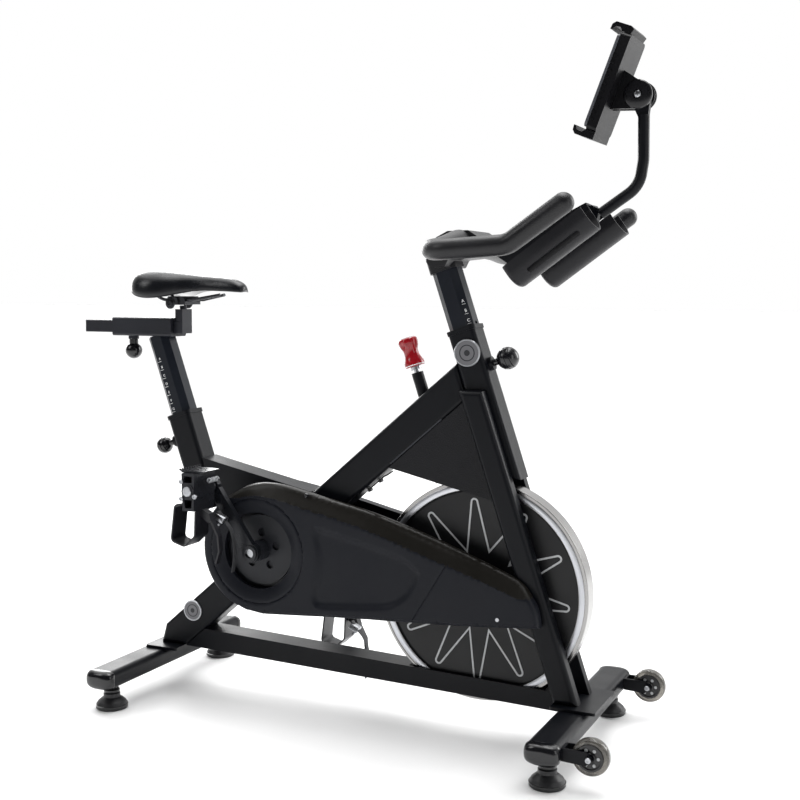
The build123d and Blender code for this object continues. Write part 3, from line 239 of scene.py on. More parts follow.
def smooth_path(pts, closed=False, per=8):
    """Catmull-Rom through points"""
    P = [Vector(p) for p in pts]
    n = len(P)
    out = []
    rng = range(n) if closed else range(n - 1)
    for i in rng:
        p0 = P[(i - 1) % n] if closed or i > 0 else P[i]
        p1 = P[i]
        p2 = P[(i + 1) % n]
        p3 = P[(i + 2) % n] if closed or i + 2 < n else P[(i + 1) % n]
        for k in range(per):
            t = k / per
            out.append(0.5 * ((2 * p1) + (p2 - p0) * t + (2 * p0 - 5 * p1 + 4 * p2 - p3) * t * t
                              + (3 * p1 - p0 - 3 * p2 + p3) * t ** 3))
    if not closed:
        out.append(P[-1])
    return out


def tube(name, pts, radius, mat, body, seg=12, closed=False, bumpy=0.0, section=None):
    """round tube along points in metres; radius in mm; bumpy swells it like a weld bead"""
    P = [Vector(p) for p in pts]
    n = len(P)
    verts, faces = [], []
    prev = None
    for i, p in enumerate(P):
        if closed:
            t = (P[(i + 1) % n] - P[(i - 1) % n]).normalized()
        else:
            t = (P[min(i + 1, n - 1)] - P[max(i - 1, 0)]).normalized()
        u = prev - t * prev.dot(t) if prev is not None else t.orthogonal()
        u.normalize()
        prev = u
        v = t.cross(u)
        r = radius / 1000.0
        if bumpy:
            r *= 1.0 + bumpy * math.sin(i * 2.1)
        for k in range(seg):
            a = 2 * math.pi * k / seg
            if section:
                su, sv = section[k % len(section)]
                verts.append(p + u * su / 1000.0 + v * sv / 1000.0)
            else:
                verts.append(p + (u * math.cos(a) + v * math.sin(a)) * r)
    ns = seg
    for i in range(n if closed else n - 1):
        i2 = (i + 1) % n
        for k in range(ns):
            k2 = (k + 1) % ns
            faces.append((i * ns + k, i * ns + k2, i2 * ns + k2, i2 * ns + k))
    if not closed:
        faces.append(tuple(range(ns))[::-1])
        faces.append(tuple((n - 1) * ns + k for k in range(ns)))
    return obj(name, verts, faces, mat, body, angle=50)


def plate(name, loops, y0, y1, mat, body, bevel=0.0, to3=None):
    """prism between y0 and y1 from side-view loops (x, z in mm); the first loop is the outline, others are holes"""
    vs, ed = [], []
    for lp in loops:
        s = len(vs)
        vs += [Vector((x, z)) for x, z in lp]
        ed += [(s + i, s + (i + 1) % len(lp)) for i in range(len(lp))]
    rv, _, rf, _, _, _ = delaunay_2d_cdt(vs, ed, [], 2 if len(loops) > 1 else 1, 1e-4)
    if len(loops) > 1:
        rv, _, rf, _, _, _ = delaunay_2d_cdt(vs, ed, [], 3, 1e-4)
    to3 = to3 or (lambda x, y, z: W(x, y, z))
    bm = bmesh.new()
    bot = [bm.verts.new(to3(v.x, y0, v.y)) for v in rv]
    fs = [bm.faces.new([bot[i] for i in f]) for f in rf]
    r = bmesh.ops.extrude_face_region(bm, geom=fs)
    top = [g for g in r["geom"] if isinstance(g, bmesh.types.BMVert)]
    d = to3(0, y1, 0) - to3(0, y0, 0)
    for v in top:
        v.co += d
    bmesh.ops.recalc_face_normals(bm, faces=bm.faces)
    if bevel:
        es = [e for e in bm.edges if len(e.link_faces) == 2 and e.calc_face_angle(0) > math.radians(30)]
        bmesh.ops.bevel(bm, geom=es, offset=bevel / 1000.0, segments=2, profile=0.5, affect="EDGES", clamp_overlap=True)
    me = bpy.data.meshes.new(name)
    bm.to_mesh(me)
    bm.free()
    o = bpy.data.objects.new(name, me)
    bpy.context.scene.collection.objects.link(o)
    me.materials.append(M[mat])
    me.polygons.foreach_set("use_smooth", [True] * len(me.polygons))
    me.set_sharp_from_angle(angle=math.radians(32))
    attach(o, body)
    return o


def circle(cx, cz, r, n=64, a0=0.0, a1=360.0):
    full = abs(a1 - a0 - 360) < 1e-6
    k = n if full else n + 1
    return [(cx + r * math.cos(math.radians(a0 + (a1 - a0) * i / n)), cz + r * math.sin(math.radians(a0 + (a1 - a0) * i / n))) for i in range(k)]


# ------------------------------------------------------------------ saddle cushion, its own soft pass
def saddle_grid():
    # station: x, half width, top height, side droop height, edge roundness
    st = [(-66, 12, 934, 922), (-63, 36, 943, 912), (-54, 56, 951, 901), (-36, 70, 957, 892), (-10, 76.5, 957.5, 887),
          (16, 74, 955.5, 887), (40, 61, 952, 892), (64, 45, 949, 899), (92, 33, 945.5, 905), (122, 27.5, 942, 907),
          (152, 25, 940, 906), (178, 24, 937.5, 905), (198, 22.5, 933, 904), (211, 18, 926, 904), (217, 9, 918, 906)]
    rows = []
    for x, w, zt, zb in st:
        row = []
        ncol = 16
        for k in range(ncol + 1):
            a = math.pi * k / ncol            # from -y edge over the top to +y edge
            c, s = math.cos(a), math.sin(a)
            yy = -w * math.copysign(abs(c) ** 0.62, c)
            top = zt - 6.0 * (abs(yy) / max(w, 1)) ** 2 - (2.5 * math.exp(-(yy / 9.0) ** 2) if -50 < x < 100 else 0.0)
            zz = zb + (top - zb) * (s ** 0.55)
            row.append((x, yy, zz))
        # underside, pulled in
        m = 6
        for k in range(1, m):
            t = k / m
            yy = w * (1 - 2 * t) * 0.94
            row.append((x * 0.985 + 1.0, yy, zb + 5 + 14 * math.sin(math.pi * t) * min(1.0, w / 40.0)))
        rows.append(row)
    return rows


rows = saddle_grid()
sv, sf = [], []
nc = len(rows[0])
for r in rows:
    sv += [W(*p) for p in r]
for i in range(len(rows) - 1):
    for k in range(nc):
        k2 = (k + 1) % nc
        sf.append((i * nc + k, i * nc + k2, (i + 1) * nc + k2, (i + 1) * nc + k))
sf.append(tuple(range(nc)))
sf.append(tuple((len(rows) - 1) * nc + k for k in range(nc))[::-1])
cushion = obj("saddle_cover", sv, sf, "vinyl", "saddle_unit", angle=180)
mod = cushion.modifiers.new("sub", "SUBSURF")
mod.levels = mod.render_levels = 2
bpy.context.view_layer.update()


def bake(o):
    dg = bpy.context.evaluated_depsgraph_get()
    me = bpy.data.meshes.new_from_object(o.evaluated_get(dg))
    o.modifiers.clear()
    o.data = me
    me.polygons.foreach_set("use_smooth", [True] * len(me.polygons))
    return o


bake(cushion)


def puff(o, steps=14, pressure=3.0, cap=0.004):
    """swells the cover a little with a cloth simulation and applies it"""
    rest = np.array([v.co for v in o.data.vertices], float)
    zlow = rest[:, 2].min() + 0.012
    vg = o.vertex_groups.new(name="pin")
    for i, p in enumerate(rest):
        vg.add([i], 1.0 if p[2] < zlow + 0.004 else 0.0, "REPLACE")
    c = o.modifiers.new("cloth", "CLOTH")
    c.settings.use_pressure = True
    c.settings.uniform_pressure_force = pressure
    c.settings.effector_weights.gravity = 0.0
    c.settings.vertex_group_mass = "pin"
    c.settings.quality = 6
    c.collision_settings.use_self_collision = False
    sc = bpy.context.scene
    for f in range(1, steps + 1):
        sc.frame_set(f)
    dg = bpy.context.evaluated_depsgraph_get()
    me = bpy.data.meshes.new_from_object(o.evaluated_get(dg))
    co = np.array([v.co for v in me.vertices], float)
    o.modifiers.clear()
    sc.frame_set(1)
    if len(co) == len(rest) and np.isfinite(co).all():
        d = co - rest
        ln = np.linalg.norm(d, axis=1, keepdims=True)
        d *= np.minimum(1.0, cap / np.maximum(ln, 1e-9))
        new = rest + d
        o.data.vertices.foreach_set("co", new.ravel().astype(np.float32))
        o.data.update()
    o.vertex_groups.clear()


puff(cushion)
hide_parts("saddle_cushion", "saddle_shell")

# piped seam round the skirt of the cover, and the hard base under it
skirt = [(-63, 36, 912), (-54, 56, 901), (-36, 70, 892), (-10, 76.5, 887), (16, 74, 887), (40, 61, 892), (64, 45, 899),
         (92, 33, 905), (122, 27.5, 907), (152, 25, 906), (178, 24, 905), (198, 22.5, 904)]
left = [W(x, w * 0.965, zb + 4.6) for x, w, zb in skirt]
right = [W(x, -w * 0.965, zb + 4.6) for x, w, zb in reversed(skirt)]
nose = [W(213, 15, 907), W(218, 0, 908.5), W(213, -15, 907)]
tail = [W(-64.5, -14, 923), W(-65.5, 0, 926), W(-64.5, 14, 923)]
seam_path = []
hit = BVHTree.FromPolygons([tuple(cushion.matrix_world @ v.co) for v in cushion.data.vertices], [tuple(f.vertices) for f in cushion.data.polygons])
for q in smooth_path(left + nose + right + tail, closed=True, per=6):
    near = hit.find_nearest(q)
    seam_path.append(near[0] if near[0] is not None else q)
tube("saddle_piping", seam_path, 1.1, "vinyl", "saddle_unit", seg=8, closed=True)
base_pts = [(-56, 30, 918), (-48, 50, 907), (-30, 63, 899), (-6, 69, 895), (18, 66, 894), (42, 54, 897), (66, 39, 903), (94, 28, 908), (124, 23, 910), (154, 20.5, 909), (182, 18, 908), (204, 12, 907)]
bv, bf = [], []
for x, w, z in base_pts:
    for t in (-1, -0.6, -0.2, 0.2, 0.6, 1):
        bv.append(W(x, w * t, z + 7 * (1 - t * t)))
    for t in (1, 0.6, 0.2, -0.2, -0.6, -1):
        bv.append(W(x, w * t * 0.98, z + 3 + 7 * (1 - t * t)))
for i in range(len(base_pts) - 1):
    for k in range(12):
        k2 = (k + 1) % 12
        bf.append((i * 12 + k, i * 12 + k2, (i + 1) * 12 + k2, (i + 1) * 12 + k))
bf.append(tuple(range(12)))
bf.append(tuple((len(base_pts) - 1) * 12 + k for k in range(12))[::-1])
obj("saddle_base", bv, bf, "cap", "saddle_unit", angle=60)

# ------------------------------------------------------------------ right guard as one moulded relief
BB = (290.0, 348.0)


def catmull2(pts, per=10):
    out = smooth_path([Vector((x, z, 0)) for x, z in pts], per=per)
    return [(p.x, p.y) for p in out]


rear = circle(BB[0], BB[1], 137.0, 44, 119.5, 247.0)
top = catmull2([(931, 252), (926, 284), (913, 309), (888, 338), (840, 360), (782, 382), (700, 411), (616, 437), (540, 457), (465, 472), (393, 487), (345, 495.5), (300, 496.5), (263, 489), (236, 475), (222.5, 467.2)], per=5)
bottom = [(236.5, 221.9), (262, 213.5), (304, 209.5), (385, 215), (465, 221), (560, 226.5), (660, 231.5), (762, 237), (850, 244), (931, 252)]
outline = top + rear[1:] + bottom[1:-1]
O = np.array(outline)


def seg_dist(p, A, closed=True):
    a = A
    b = np.roll(A, -1, axis=0) if closed else A[1:]
    if not closed:
        a = A[:-1]
    ab = b - a
    t = np.clip(((p[:, None, :] - a) * ab).sum(-1) / np.maximum((ab ** 2).sum(-1), 1e-9), 0, 1)
    q = a + ab * t[..., None]
    return np.sqrt(((p[:, None, :] - q) ** 2).sum(-1)).min(1)


def inside(p, A):
    x, y = p[:, 0], p[:, 1]
    r = np.zeros(len(p), bool)
    n = len(A)
    j = n - 1
    for i in range(n):
        xi, yi, xj, yj = A[i, 0], A[i, 1], A[j, 0], A[j, 1]
        if yi != yj:
            c = ((yi > y) != (yj > y)) & (x < (xj - xi) * (y - yi) / (yj - yi) + xi)
            r ^= c
        j = i
    return r


band_in = np.array(catmull2([(214, 462), (241, 461), (275, 468), (305, 469), (350, 463), (398, 452), (494, 432), (587, 408), (677, 378), (787, 344), (850, 322), (886, 309)], per=6))
window = np.array(catmull2([(430, 418), (506, 402), (575, 388), (640, 370), (672, 350), (680, 334), (668, 303), (645, 275), (610, 255), (560, 247), (500, 241), (440, 238), (424, 262), (432, 300), (436, 350), (428, 390), (430, 418)], per=6))[:-1]
seam_l = np.array([(733, 358), (696, 298), (660, 238)], float)


def relief(p):
    """height of the moulded face above the flange, mm, at side-view points"""
    d = seg_dist(p, O)
    h = np.full(len(p), 25.0)
    R = 9.0
    e = np.clip(d, 0, R)
    h -= R - np.sqrt(np.maximum(R * R - (R - e) ** 2, 0))
    # sloping upper band between the outline and the band line
    x = p[:, 0]
    bx, bz = band_in[:, 0], band_in[:, 1]
    zb = np.interp(x, bx, bz)
    above = np.clip((p[:, 1] - zb), 0, 40)
    on = (p[:, 1] > zb) & (x > 212)
    h = np.where(on, h - np.minimum(above * 0.42 + 1.0, 11.0), h)
    # ring round the crank opening
    r = np.hypot(p[:, 0] - BB[0], p[:, 1] - BB[1])
    groove = np.exp(-((r - 114.6) / 1.3) ** 2) * 2.4
    h = np.where(~on, h - groove, h)
    dish = np.clip((112.0 - r) / 28.0, 0, 1)
    h -= dish ** 1.6 * 8.0
    # panel with a bevelled step
    w_in = inside(p, window)
    dw = seg_dist(p, window)
    step = np.where(w_in, np.clip(dw / 15.0, 0, 1), 0.0)
    step = step * step * (3 - 2 * step)
    h -= 5.5 * step
    # moulding seam in front of the panel
    ds = seg_dist(p, seam_l, closed=False)
    h -= np.exp(-(ds / 1.2) ** 2) * 1.6
    # lower trim step
    zl = np.interp(x, [236, 304, 465, 762, 931], [228, 217, 229, 244, 259])
    h -= np.where((p[:, 1] < zl) & (r > 118), 1.6, 0.0)
    return h


def guard_mesh():
    hole_r = 84.0
    hole = np.array(circle(BB[0], BB[1], hole_r, 96))
    vs = [tuple(p) for p in O] + [tuple(p) for p in hole]
    no, nh = len(O), len(hole)
    ed = [(i, (i + 1) % no) for i in range(no)] + [(no + i, no + (i + 1) % nh) for i in range(nh)]
    rings = []
    for rr in (88, 94, 101, 107, 111.5, 113.2, 114.6, 116.0, 118, 122):
        rings += circle(BB[0], BB[1], rr, 110)
    extra = list(rings)
    for k in range(len(window)):
        a, b, c = window[k - 1], window[k], window[(k + 1) % len(window)]
        t = c - a
        t /= np.hypot(*t)
        nrm = np.array((-t[1], t[0]))
        for off in (-1.2, 0.3, 3, 6, 9, 12, 15.2, 17):
            q = b + nrm * off
            extra.append(tuple(q))
            q = b - nrm * off
            extra.append(tuple(q))
    bi = band_in
    for k in range(1, len(bi) - 1):
        t = bi[k + 1] - bi[k - 1]
        t /= np.hypot(*t)
        nrm = np.array((-t[1], t[0]))
        if nrm[1] < 0:
            nrm = -nrm
        for off in (-1.6, -0.05, 0.15, 1.6):
            extra.append(tuple(bi[k] + nrm * off))
    for tt in np.linspace(0, 1, 60):
        q = np.array((733, 358)) * (1 - tt) + np.array((660, 238)) * tt
        for off in (-2.2, -1.1, 0, 1.1, 2.2):
            extra.append((q[0] + off, q[1] - off * 0.6))
    for tt in np.linspace(0, 1, 150):
        x = 240 + tt * 688
        zl = np.interp(x, [236, 304, 465, 762, 931], [228, 217, 229, 244, 259])
        extra += [(x, zl + 0.1), (x, zl - 0.6)]
    g = 7.0
    ny = 0
    z = 205.0
    while z < 505:
        x = 150.0 + (g / 2 if ny % 2 else 0)
        while x < 935:
            extra.append((x, z))
            x += g
        z += g * 0.87
        ny += 1
    # inset copies of the outline for its round edge
    ctr = O
    for off in (0.6, 1.8, 3.6, 6.0, 9.0):
        for i in range(len(O)):
            t = O[(i + 1) % len(O)] - O[i - 1]
            t /= max(np.hypot(*t), 1e-9)
            nrm = np.array((-t[1], t[0]))
            extra.append(tuple(O[i] + nrm * off))
    E = np.array(extra)
    keep = inside(E, O) & (np.hypot(E[:, 0] - BB[0], E[:, 1] - BB[1]) > hole_r + 1.5)
    E = E[keep]
    dO = seg_dist(E, O)
    E = E[dO > 0.4]
    vs += [tuple(p) for p in E]
    rv, _, rf, _, _, _ = delaunay_2d_cdt([Vector(v) for v in vs], ed, [], 1, 1e-3)
    P2 = np.array([(v.x, v.y) for v in rv])
    cen = np.array([P2[list(f)].mean(0) for f in rf])
    ok = (np.hypot(cen[:, 0] - BB[0], cen[:, 1] - BB[1]) > hole_r - 0.3) & inside(cen, O)
    faces = [tuple(f) for f, k in zip(rf, ok) if k]
    H = relief(P2)
    verts = [W(x, -60.0 - h, z) for (x, z), h in zip(P2, H)]
    bm = bmesh.new()
    bv = [bm.verts.new(v) for v in verts]
    for f in faces:
        try:
            bm.faces.new([bv[i] for i in f])
        except ValueError:
            pass
    bmesh.ops.delete(bm, geom=[v for v in bm.verts if not v.link_faces], context="VERTS")
    # skirt down to the flange and a lip round the opening
    bound = [e for e in bm.edges if len(e.link_faces) == 1]
    r = bmesh.ops.extrude_edge_only(bm, edges=bound)
    for v in [g for g in r["geom"] if isinstance(g, bmesh.types.BMVert)]:
        x, z = (v.co.x + XC) * 1000, v.co.z * 1000
        rr = math.hypot(x - BB[0], z - BB[1])
        v.co.y = -0.0605 if rr > 100 else -0.0665
    bmesh.ops.recalc_face_normals(bm, faces=bm.faces)
    me = bpy.data.meshes.new("guard_relief")
    bm.to_mesh(me)
    bm.free()
    me.materials.append(M["guard"])
    me.materials.append(M["band"])
    for p in me.polygons:
        c = p.center
        x, z = (c.x + XC) * 1000, c.z * 1000
        zb = float(np.interp(x, band_in[:, 0], band_in[:, 1]))
        if z > zb and x > 214:
            p.material_index = 1
        p.use_smooth = True
    me.set_sharp_from_angle(angle=math.radians(38))
    o = bpy.data.objects.new("guard_relief", me)
    bpy.context.scene.collection.objects.link(o)
    s = o.modifiers.new("wall", "SOLIDIFY")
    s.thickness = 0.0025
    s.offset = -1 if True else 1
    bake(o)
    o.data.set_sharp_from_angle(angle=math.radians(38))
    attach(o, "frame")
    return o


guard = guard_mesh()
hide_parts("guard_right")
# screw at the guard's front, and the small plug near the opening
lathe("guard_screw", [(0, 1.2), (3.4, 1.2), (4.2, 0.4), (4.2, -2), (0, -2)], W(846, -85, 262), (0, -1, 0), "steel", "frame", seg=24)
lathe("guard_plug", [(0, 3.0), (3.6, 3.0), (4.6, 2.0), (4.6, -2), (0, -2)], W(412, -78.5, 478), (-0.2, -0.9, 0.4), "cap", "frame", seg=24)

# ------------------------------------------------------------------ flywheel face work
FW = (784.0, 300.0)
TIPS = [26.1, 60.0, 94.7, 127.1, 155.0, 183.0, 211.2, 239.9, 268.2, 298.3, 326.5, 354.6]
for s in (-1, 1):
    tag = "right" if s < 0 else "left"
    lathe("flywheel_band_" + tag, [(209.2, -2), (209.4, 0.2), (210.2, 0.7), (220.4, 0.7), (221.3, 0.2), (221.4, -1)], W(FW[0], s * 20.0, FW[1]), (0, s, 0), "machined", "flywheel", seg=180, angle=50)
    lathe("flywheel_lip_" + tag, [(203.4, -1), (203.6, 0.25), (208.3, 0.25), (208.8, -0.3), (208.8, -1)], W(FW[0], s * 16.0, FW[1]), (0, s, 0), "disc", "flywheel", seg=180, angle=50)
    line = []
    for k, th in enumerate(TIPS):
        prev = TIPS[k - 1] - (360.0 if k == 0 else 0.0)
        ti = math.radians(0.5 * (th + prev))
        ri = 84.0
        line.append((ri * math.cos(ti), ri * math.sin(ti)))
        ca, sa = math.cos(math.radians(th)), math.sin(math.radians(th))
        for a in range(-80, 81, 20):
            lx = 183 + 6.4 * math.cos(math.radians(a))
            ly = 6.4 * math.sin(math.radians(a))
            line.append((lx * ca - ly * sa, lx * sa + ly * ca))
    L = np.array(line)
    n = len(L)
    hw = 1.9
    verts, faces = [], []
    for i in range(n):
        t1 = L[i] - L[i - 1]
        t2 = L[(i + 1) % n] - L[i]
        t1 /= np.hypot(*t1)
        t2 /= np.hypot(*t2)
        nm = np.array((-(t1 + t2)[1], (t1 + t2)[0]))
        nm /= max(np.hypot(*nm), 1e-6)
        c = max(0.45, float(np.dot(nm, (-t1[1], t1[0]))))
        nm = nm * hw / c
        for q in (L[i] + nm, L[i] - nm):
            for yy in (15.9, 16.4):
                verts.append(W(FW[0] + q[0], s * yy, FW[1] + q[1]))
    for i in range(n):
        a, b = i * 4, ((i + 1) % n) * 4
        faces += [(a + 1, a + 3, b + 3, b + 1), (a, a + 1, b + 1, b), (a + 2, b + 2, b + 3, a + 3), (a, b, b + 2, a + 2)]
    obj("flywheel_spokes_" + tag, verts, faces, "print", "flywheel", smooth=False)
    lathe("flywheel_boss_" + tag, [(24.2, -5), (46, -5), (46.6, -4.6), (45.4, -2.6), (30, -1.2), (24.4, 0.2), (24.2, 0.2)], W(FW[0], s * 20.8, FW[1]), (0, s, 0), "disc", "flywheel", seg=64)

# ------------------------------------------------------------------ transport wheels: clear tyre on a black pierced hub
for tag, s in (("right", -1), ("left", 1)):
    c = W(1081.2, s * 223.2, 71.1)
    body = "wheel_%s_unit" % tag
    prof = [(21, -8), (24, -9.5), (30.5, -11), (33.6, -9), (34.8, -5), (35, 0), (34.8, 5), (33.6, 9), (30.5, 11), (24, 9.5), (21, 8)]
    tyre = lathe("wheel_tyre_" + tag, prof, c, (0, 1, 0), "clear", body, seg=72, angle=60)
    hub = lathe("wheel_hub_" + tag, [(4.3, -12), (9, -12), (10, -11), (10, -9), (20.4, -9), (21.4, -12), (25.0, -12), (25.6, -10.5), (25.6, 10.5), (25.0, 12), (21.4, 12), (20.4, 9), (10, 9), (10, 11), (9, 12), (4.3, 12)], c, (0, 1, 0), "cap", body, seg=60)
    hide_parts("transport_wheel_" + tag)
    for k in range(6):
        a = math.radians(60 * k)
        for t in (-1, 1):
            lathe("wheel_pocket_%s_%d_%s" % (tag, k, "a" if t < 0 else "b"), [(0, 0.35), (2.8, 0.35), (3.1, 0.0), (3.1, -1), (0, -1)], c + Vector((math.cos(a) * 0.0155, t * 0.0091, math.sin(a) * 0.0155)), (0, t, 0), "print", body, seg=20)

# ------------------------------------------------------------------ brake knob rings and lobes
HU = Vector((-math.sin(math.radians(18.7)), 0, math.cos(math.radians(18.7))))
k0 = W(646, 0, 702) + HU * 0.055
red = lathe("brake_knob", [(6.2, 0), (19.2, 0), (21.0, 1.6), (21.4, 4), (20.8, 10), (18.0, 17), (15.6, 24), (15.2, 31), (16.4, 37), (19.4, 43), (21.2, 49), (21.6, 54), (20.4, 58.6), (17.4, 61.2), (12, 62), (0, 62), (0, 20), (6.2, 20)], k0, HU, "red", "brake_cap_unit", seg=96, angle=40)
for v in red.data.vertices:
    d = v.co - k0
    h = d.dot(HU)
    rad = d - HU * h
    if 0.036 < h < 0.0605 and rad.length > 0.013:
        u = Vector((0, 1, 0))
        w = HU.cross(u)
        ang = math.atan2(rad.dot(w), rad.dot(u))
        v.co -= rad.normalized() * 0.0016 * (0.5 - 0.5 * math.cos(8 * ang)) * math.sin(math.pi * (h - 0.036) / 0.0245)
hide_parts("brake_cap")
lathe("brake_ring_low", [(20.9, 1.8), (21.5, 2.3), (21.5, 3.6), (20.9, 4.1)], k0, HU, "white", "brake_cap_unit", seg=72)
lathe("brake_ring_top", [(15.0, 61.4), (15.2, 62.4), (17.0, 62.2), (17.4, 61.0)], k0, HU, "white", "brake_cap_unit", seg=72)

# ------------------------------------------------------------------ badges, plain rings only
for nm, c in (("head", W(757, -35, 787)), ("leg", W(88, -32, 182))):
    R = 28.0 if nm == "head" else 24.0
    lathe("badge_rim_" + nm, [(R - 3.2, 0), (R - 2.8, 1.1), (R - 0.8, 1.1), (R - 0.1, 0)], c, (0, -1, 0), "steel", "frame", seg=72)
    lathe("badge_ring_" + nm, [(R * 0.52, 0), (R * 0.52, 0.35), (R * 0.60, 0.35), (R * 0.60, 0)], c, (0, -1, 0), "dark_print_and_painted_shade", "frame", seg=60)
    lathe("badge_dot_" + nm, [(0, 0.4), (R * 0.22, 0.4), (R * 0.22, 0), (0, 0)], c, (0, -1, 0), "dark_print_and_painted_shade", "frame", seg=40)

# ------------------------------------------------------------------ helpers for small fittings
def loft(name, rings, mat, body, angle=40.0, cap=True):
    verts, faces = [], []
    n = len(rings[0])
    for r in rings:
        verts += r
    for i in range(len(rings) - 1):
        for k in range(n):
            k2 = (k + 1) % n
            faces.append((i * n + k, i * n + k2, (i + 1) * n + k2, (i + 1) * n + k))
    if cap:
        faces.append(tuple(range(n))[::-1])
        faces.append(tuple((len(rings) - 1) * n + k for k in range(n)))
    return obj(name, verts, faces, mat, body, angle=angle)


def letter(ch, name, origin, right, up, size, body):
    """a printed letter or digit as a thin raised mesh"""
    cu = bpy.data.curves.new(name, "FONT")
    cu.body = ch
    cu.size = size / 1000.0
    cu.extrude = 0.00012
    cu.offset = 0.00006
    cu.align_x = "CENTER"
    cu.align_y = "CENTER"
    t = bpy.data.objects.new(name, cu)
    bpy.context.scene.collection.objects.link(t)
    bpy.context.view_layer.update()
    me = bpy.data.meshes.new_from_object(t.evaluated_get(bpy.context.evaluated_depsgraph_get()))
    bpy.data.objects.remove(t)
    bpy.data.curves.remove(cu)
    nrm = right.cross(up)
    m = Matrix((right, up, nrm)).transposed().to_4x4()
    m.translation = origin + nrm * 0.0001
    me.transform(m)
    me.materials.clear()
    me.materials.append(M["white"])
    o = bpy.data.objects.new(name, me)
    bpy.context.scene.collection.objects.link(o)
    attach(o, body)
    return o


def bar_mark(name, origin, right, up, w, h, body):
    nrm = right.cross(up)
    q = []
    for d in (-0.00005, 0.00018):
        for a, b in ((-1, -1), (1, -1), (1, 1), (-1, 1)):
            q.append(origin + right * (a * w / 2000.0) + up * (b * h / 2000.0) + nrm * d)
    f = [(0, 1, 5, 4), (1, 2, 6, 5), (2, 3, 7, 6), (3, 0, 4, 7), (4, 5, 6, 7), (3, 2, 1, 0)]
    return obj(name, q, f, "white", body, smooth=False)


def rot(deg):
    a = math.radians(deg)
    return Vector((math.cos(a), 0, math.sin(a))), Vector((-math.sin(a), 0, math.cos(a)))


# ------------------------------------------------------------------ height letters and ticks on the posts
SX, SZ = rot(19.13)
HX, HZ = rot(18.7)
YD = Vector((0, 1, 0))
for k, ch in enumerate("ABCDEFG"):
    t = k / 6.0
    c = W(2.3 + 36.7 * t, -26.5, 754.7 - 112.8 * t)
    letter(ch, "seat_mark_" + ch, c, SX, SZ, 7.6, "seat_post_unit")
    bar_mark("seat_tick_" + ch, c - SZ * 0.0065 - SX * 0.002, SX, SZ, 9.0, 0.8, "seat_post_unit")
for k, ch in enumerate("ABCDE"):
    s_ = 0.0513 - 0.0205 * k
    c = W(738, 0, 836) + HZ * s_ + HX * 0.021 - YD * 0.021
    r_ = (HX + YD).normalized()
    letter(ch, "bar_mark_" + ch, c, r_, HZ, 9.0, "bar_unit")
    bar_mark("bar_tick_" + ch, c - HZ * 0.0066, r_, HZ, 8.0, 0.8, "bar_unit")

# ------------------------------------------------------------------ moulded shoulders either side of the bar hub
for s_ in (-1, 1):
    rings = []
    for i in range(13):
        t = i / 12.0
        y = 56.5 + 118.0 * t
        z = 1004.0 - max(0.0, y - 68.0) * 0.1199
        r = 19.8 + 8.0 * (1 - t) ** 1.6
        rings.append([W(746 + (r * 1.0) * math.cos(a), s_ * y, z + 1.5 * (1 - t) + r * 0.97 * math.sin(a)) for a in [2 * math.pi * k / 32 for k in range(32)]])
    loft("hub_shoulder_" + ("right" if s_ < 0 else "left"), rings, "rubber", "bar_unit")
# ------------------------------------------------------------------ saddle clamp bolt with serrated washers
for s_ in (-1, 1):
    tag = "right" if s_ < 0 else "left"
    lathe("clamp_washer_" + tag, [(0, 2.5), (4.2, 2.5), (4.6, 4.2), (7.4, 4.0), (8.0, 2.6), (8.0, 1.2), (11.6, 1.0), (12.6, 0), (12.6, -1.2), (0, -1.2)], W(39, s_ * 35.2, 881.5), (0, s_, 0), "darksteel", "saddle_unit", seg=40)

# ------------------------------------------------------------------ weld beads
def bead(name, a, b, r=2.2, body="frame"):
    n = max(6, int((b - a).length * 1000 / 2.2))
    pts = [a + (b - a) * (i / n) + Vector((0, 0.0002 * math.sin(i * 1.7), 0.0002 * math.cos(i * 2.3))) for i in range(n + 1)]
    return tube(name, pts, r, "weld", body, seg=8, bumpy=0.16)


for s_ in (-1, 1):
    tag = "right" if s_ < 0 else "left"
    bead("weld_leg_" + tag, W(748.6, s_ * 31.0, 700), W(816.5, s_ * 31.0, 498))
    bead("weld_gusset_top_" + tag, W(585, s_ * 30.0, 551), W(700, s_ * 30.0, 650), 1.8)
    bead("weld_stabiliser_" + tag, W(988, s_ * 30.0, 93.0), W(1030, s_ * 30.0, 93.0), 2.0)
bead("weld_head_front", W(767, -22, 843), W(767, 22, 843), 1.6)

# ------------------------------------------------------------------ rounded glossy ends of the stabiliser bars
cv, cf = [], []
for x0 in (0.0, 996.9):
    for s_ in (-1, 1):
        prof = [(246.5, 1.015), (248, 1.035), (252, 1.045), (257, 1.02), (261.5, 0.95), (264.8, 0.84), (267, 0.68), (268.3, 0.45), (268.8, 0.2)]
        base = len(cv)
        N = 40
        for y, k in prof:
            for j in range(N):
                a = 2 * math.pi * j / N
                c_, d_ = math.cos(a), math.sin(a)
                ex = 0.46 + 0.4 * max(0.0, (y - 248.0) / 20.8)
                cv.append(W(x0 + 33.0 * k * math.copysign(abs(c_) ** ex, c_), s_ * y, 72.0 + 20.0 * k * math.copysign(abs(d_) ** ex, d_)))
        for i in range(len(prof) - 1):
            for j in range(N):
                j2 = (j + 1) % N
                cf.append((base + i * N + j, base + i * N + j2, base + (i + 1) * N + j2, base + (i + 1) * N + j))
        cf.append(tuple(base + j for j in range(N)))
        cf.append(tuple(base + (len(prof) - 1) * N + j for j in range(N)))
caps = obj("bar_end_caps", cv, cf, "cap", "frame", angle=60)
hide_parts("bar_caps")

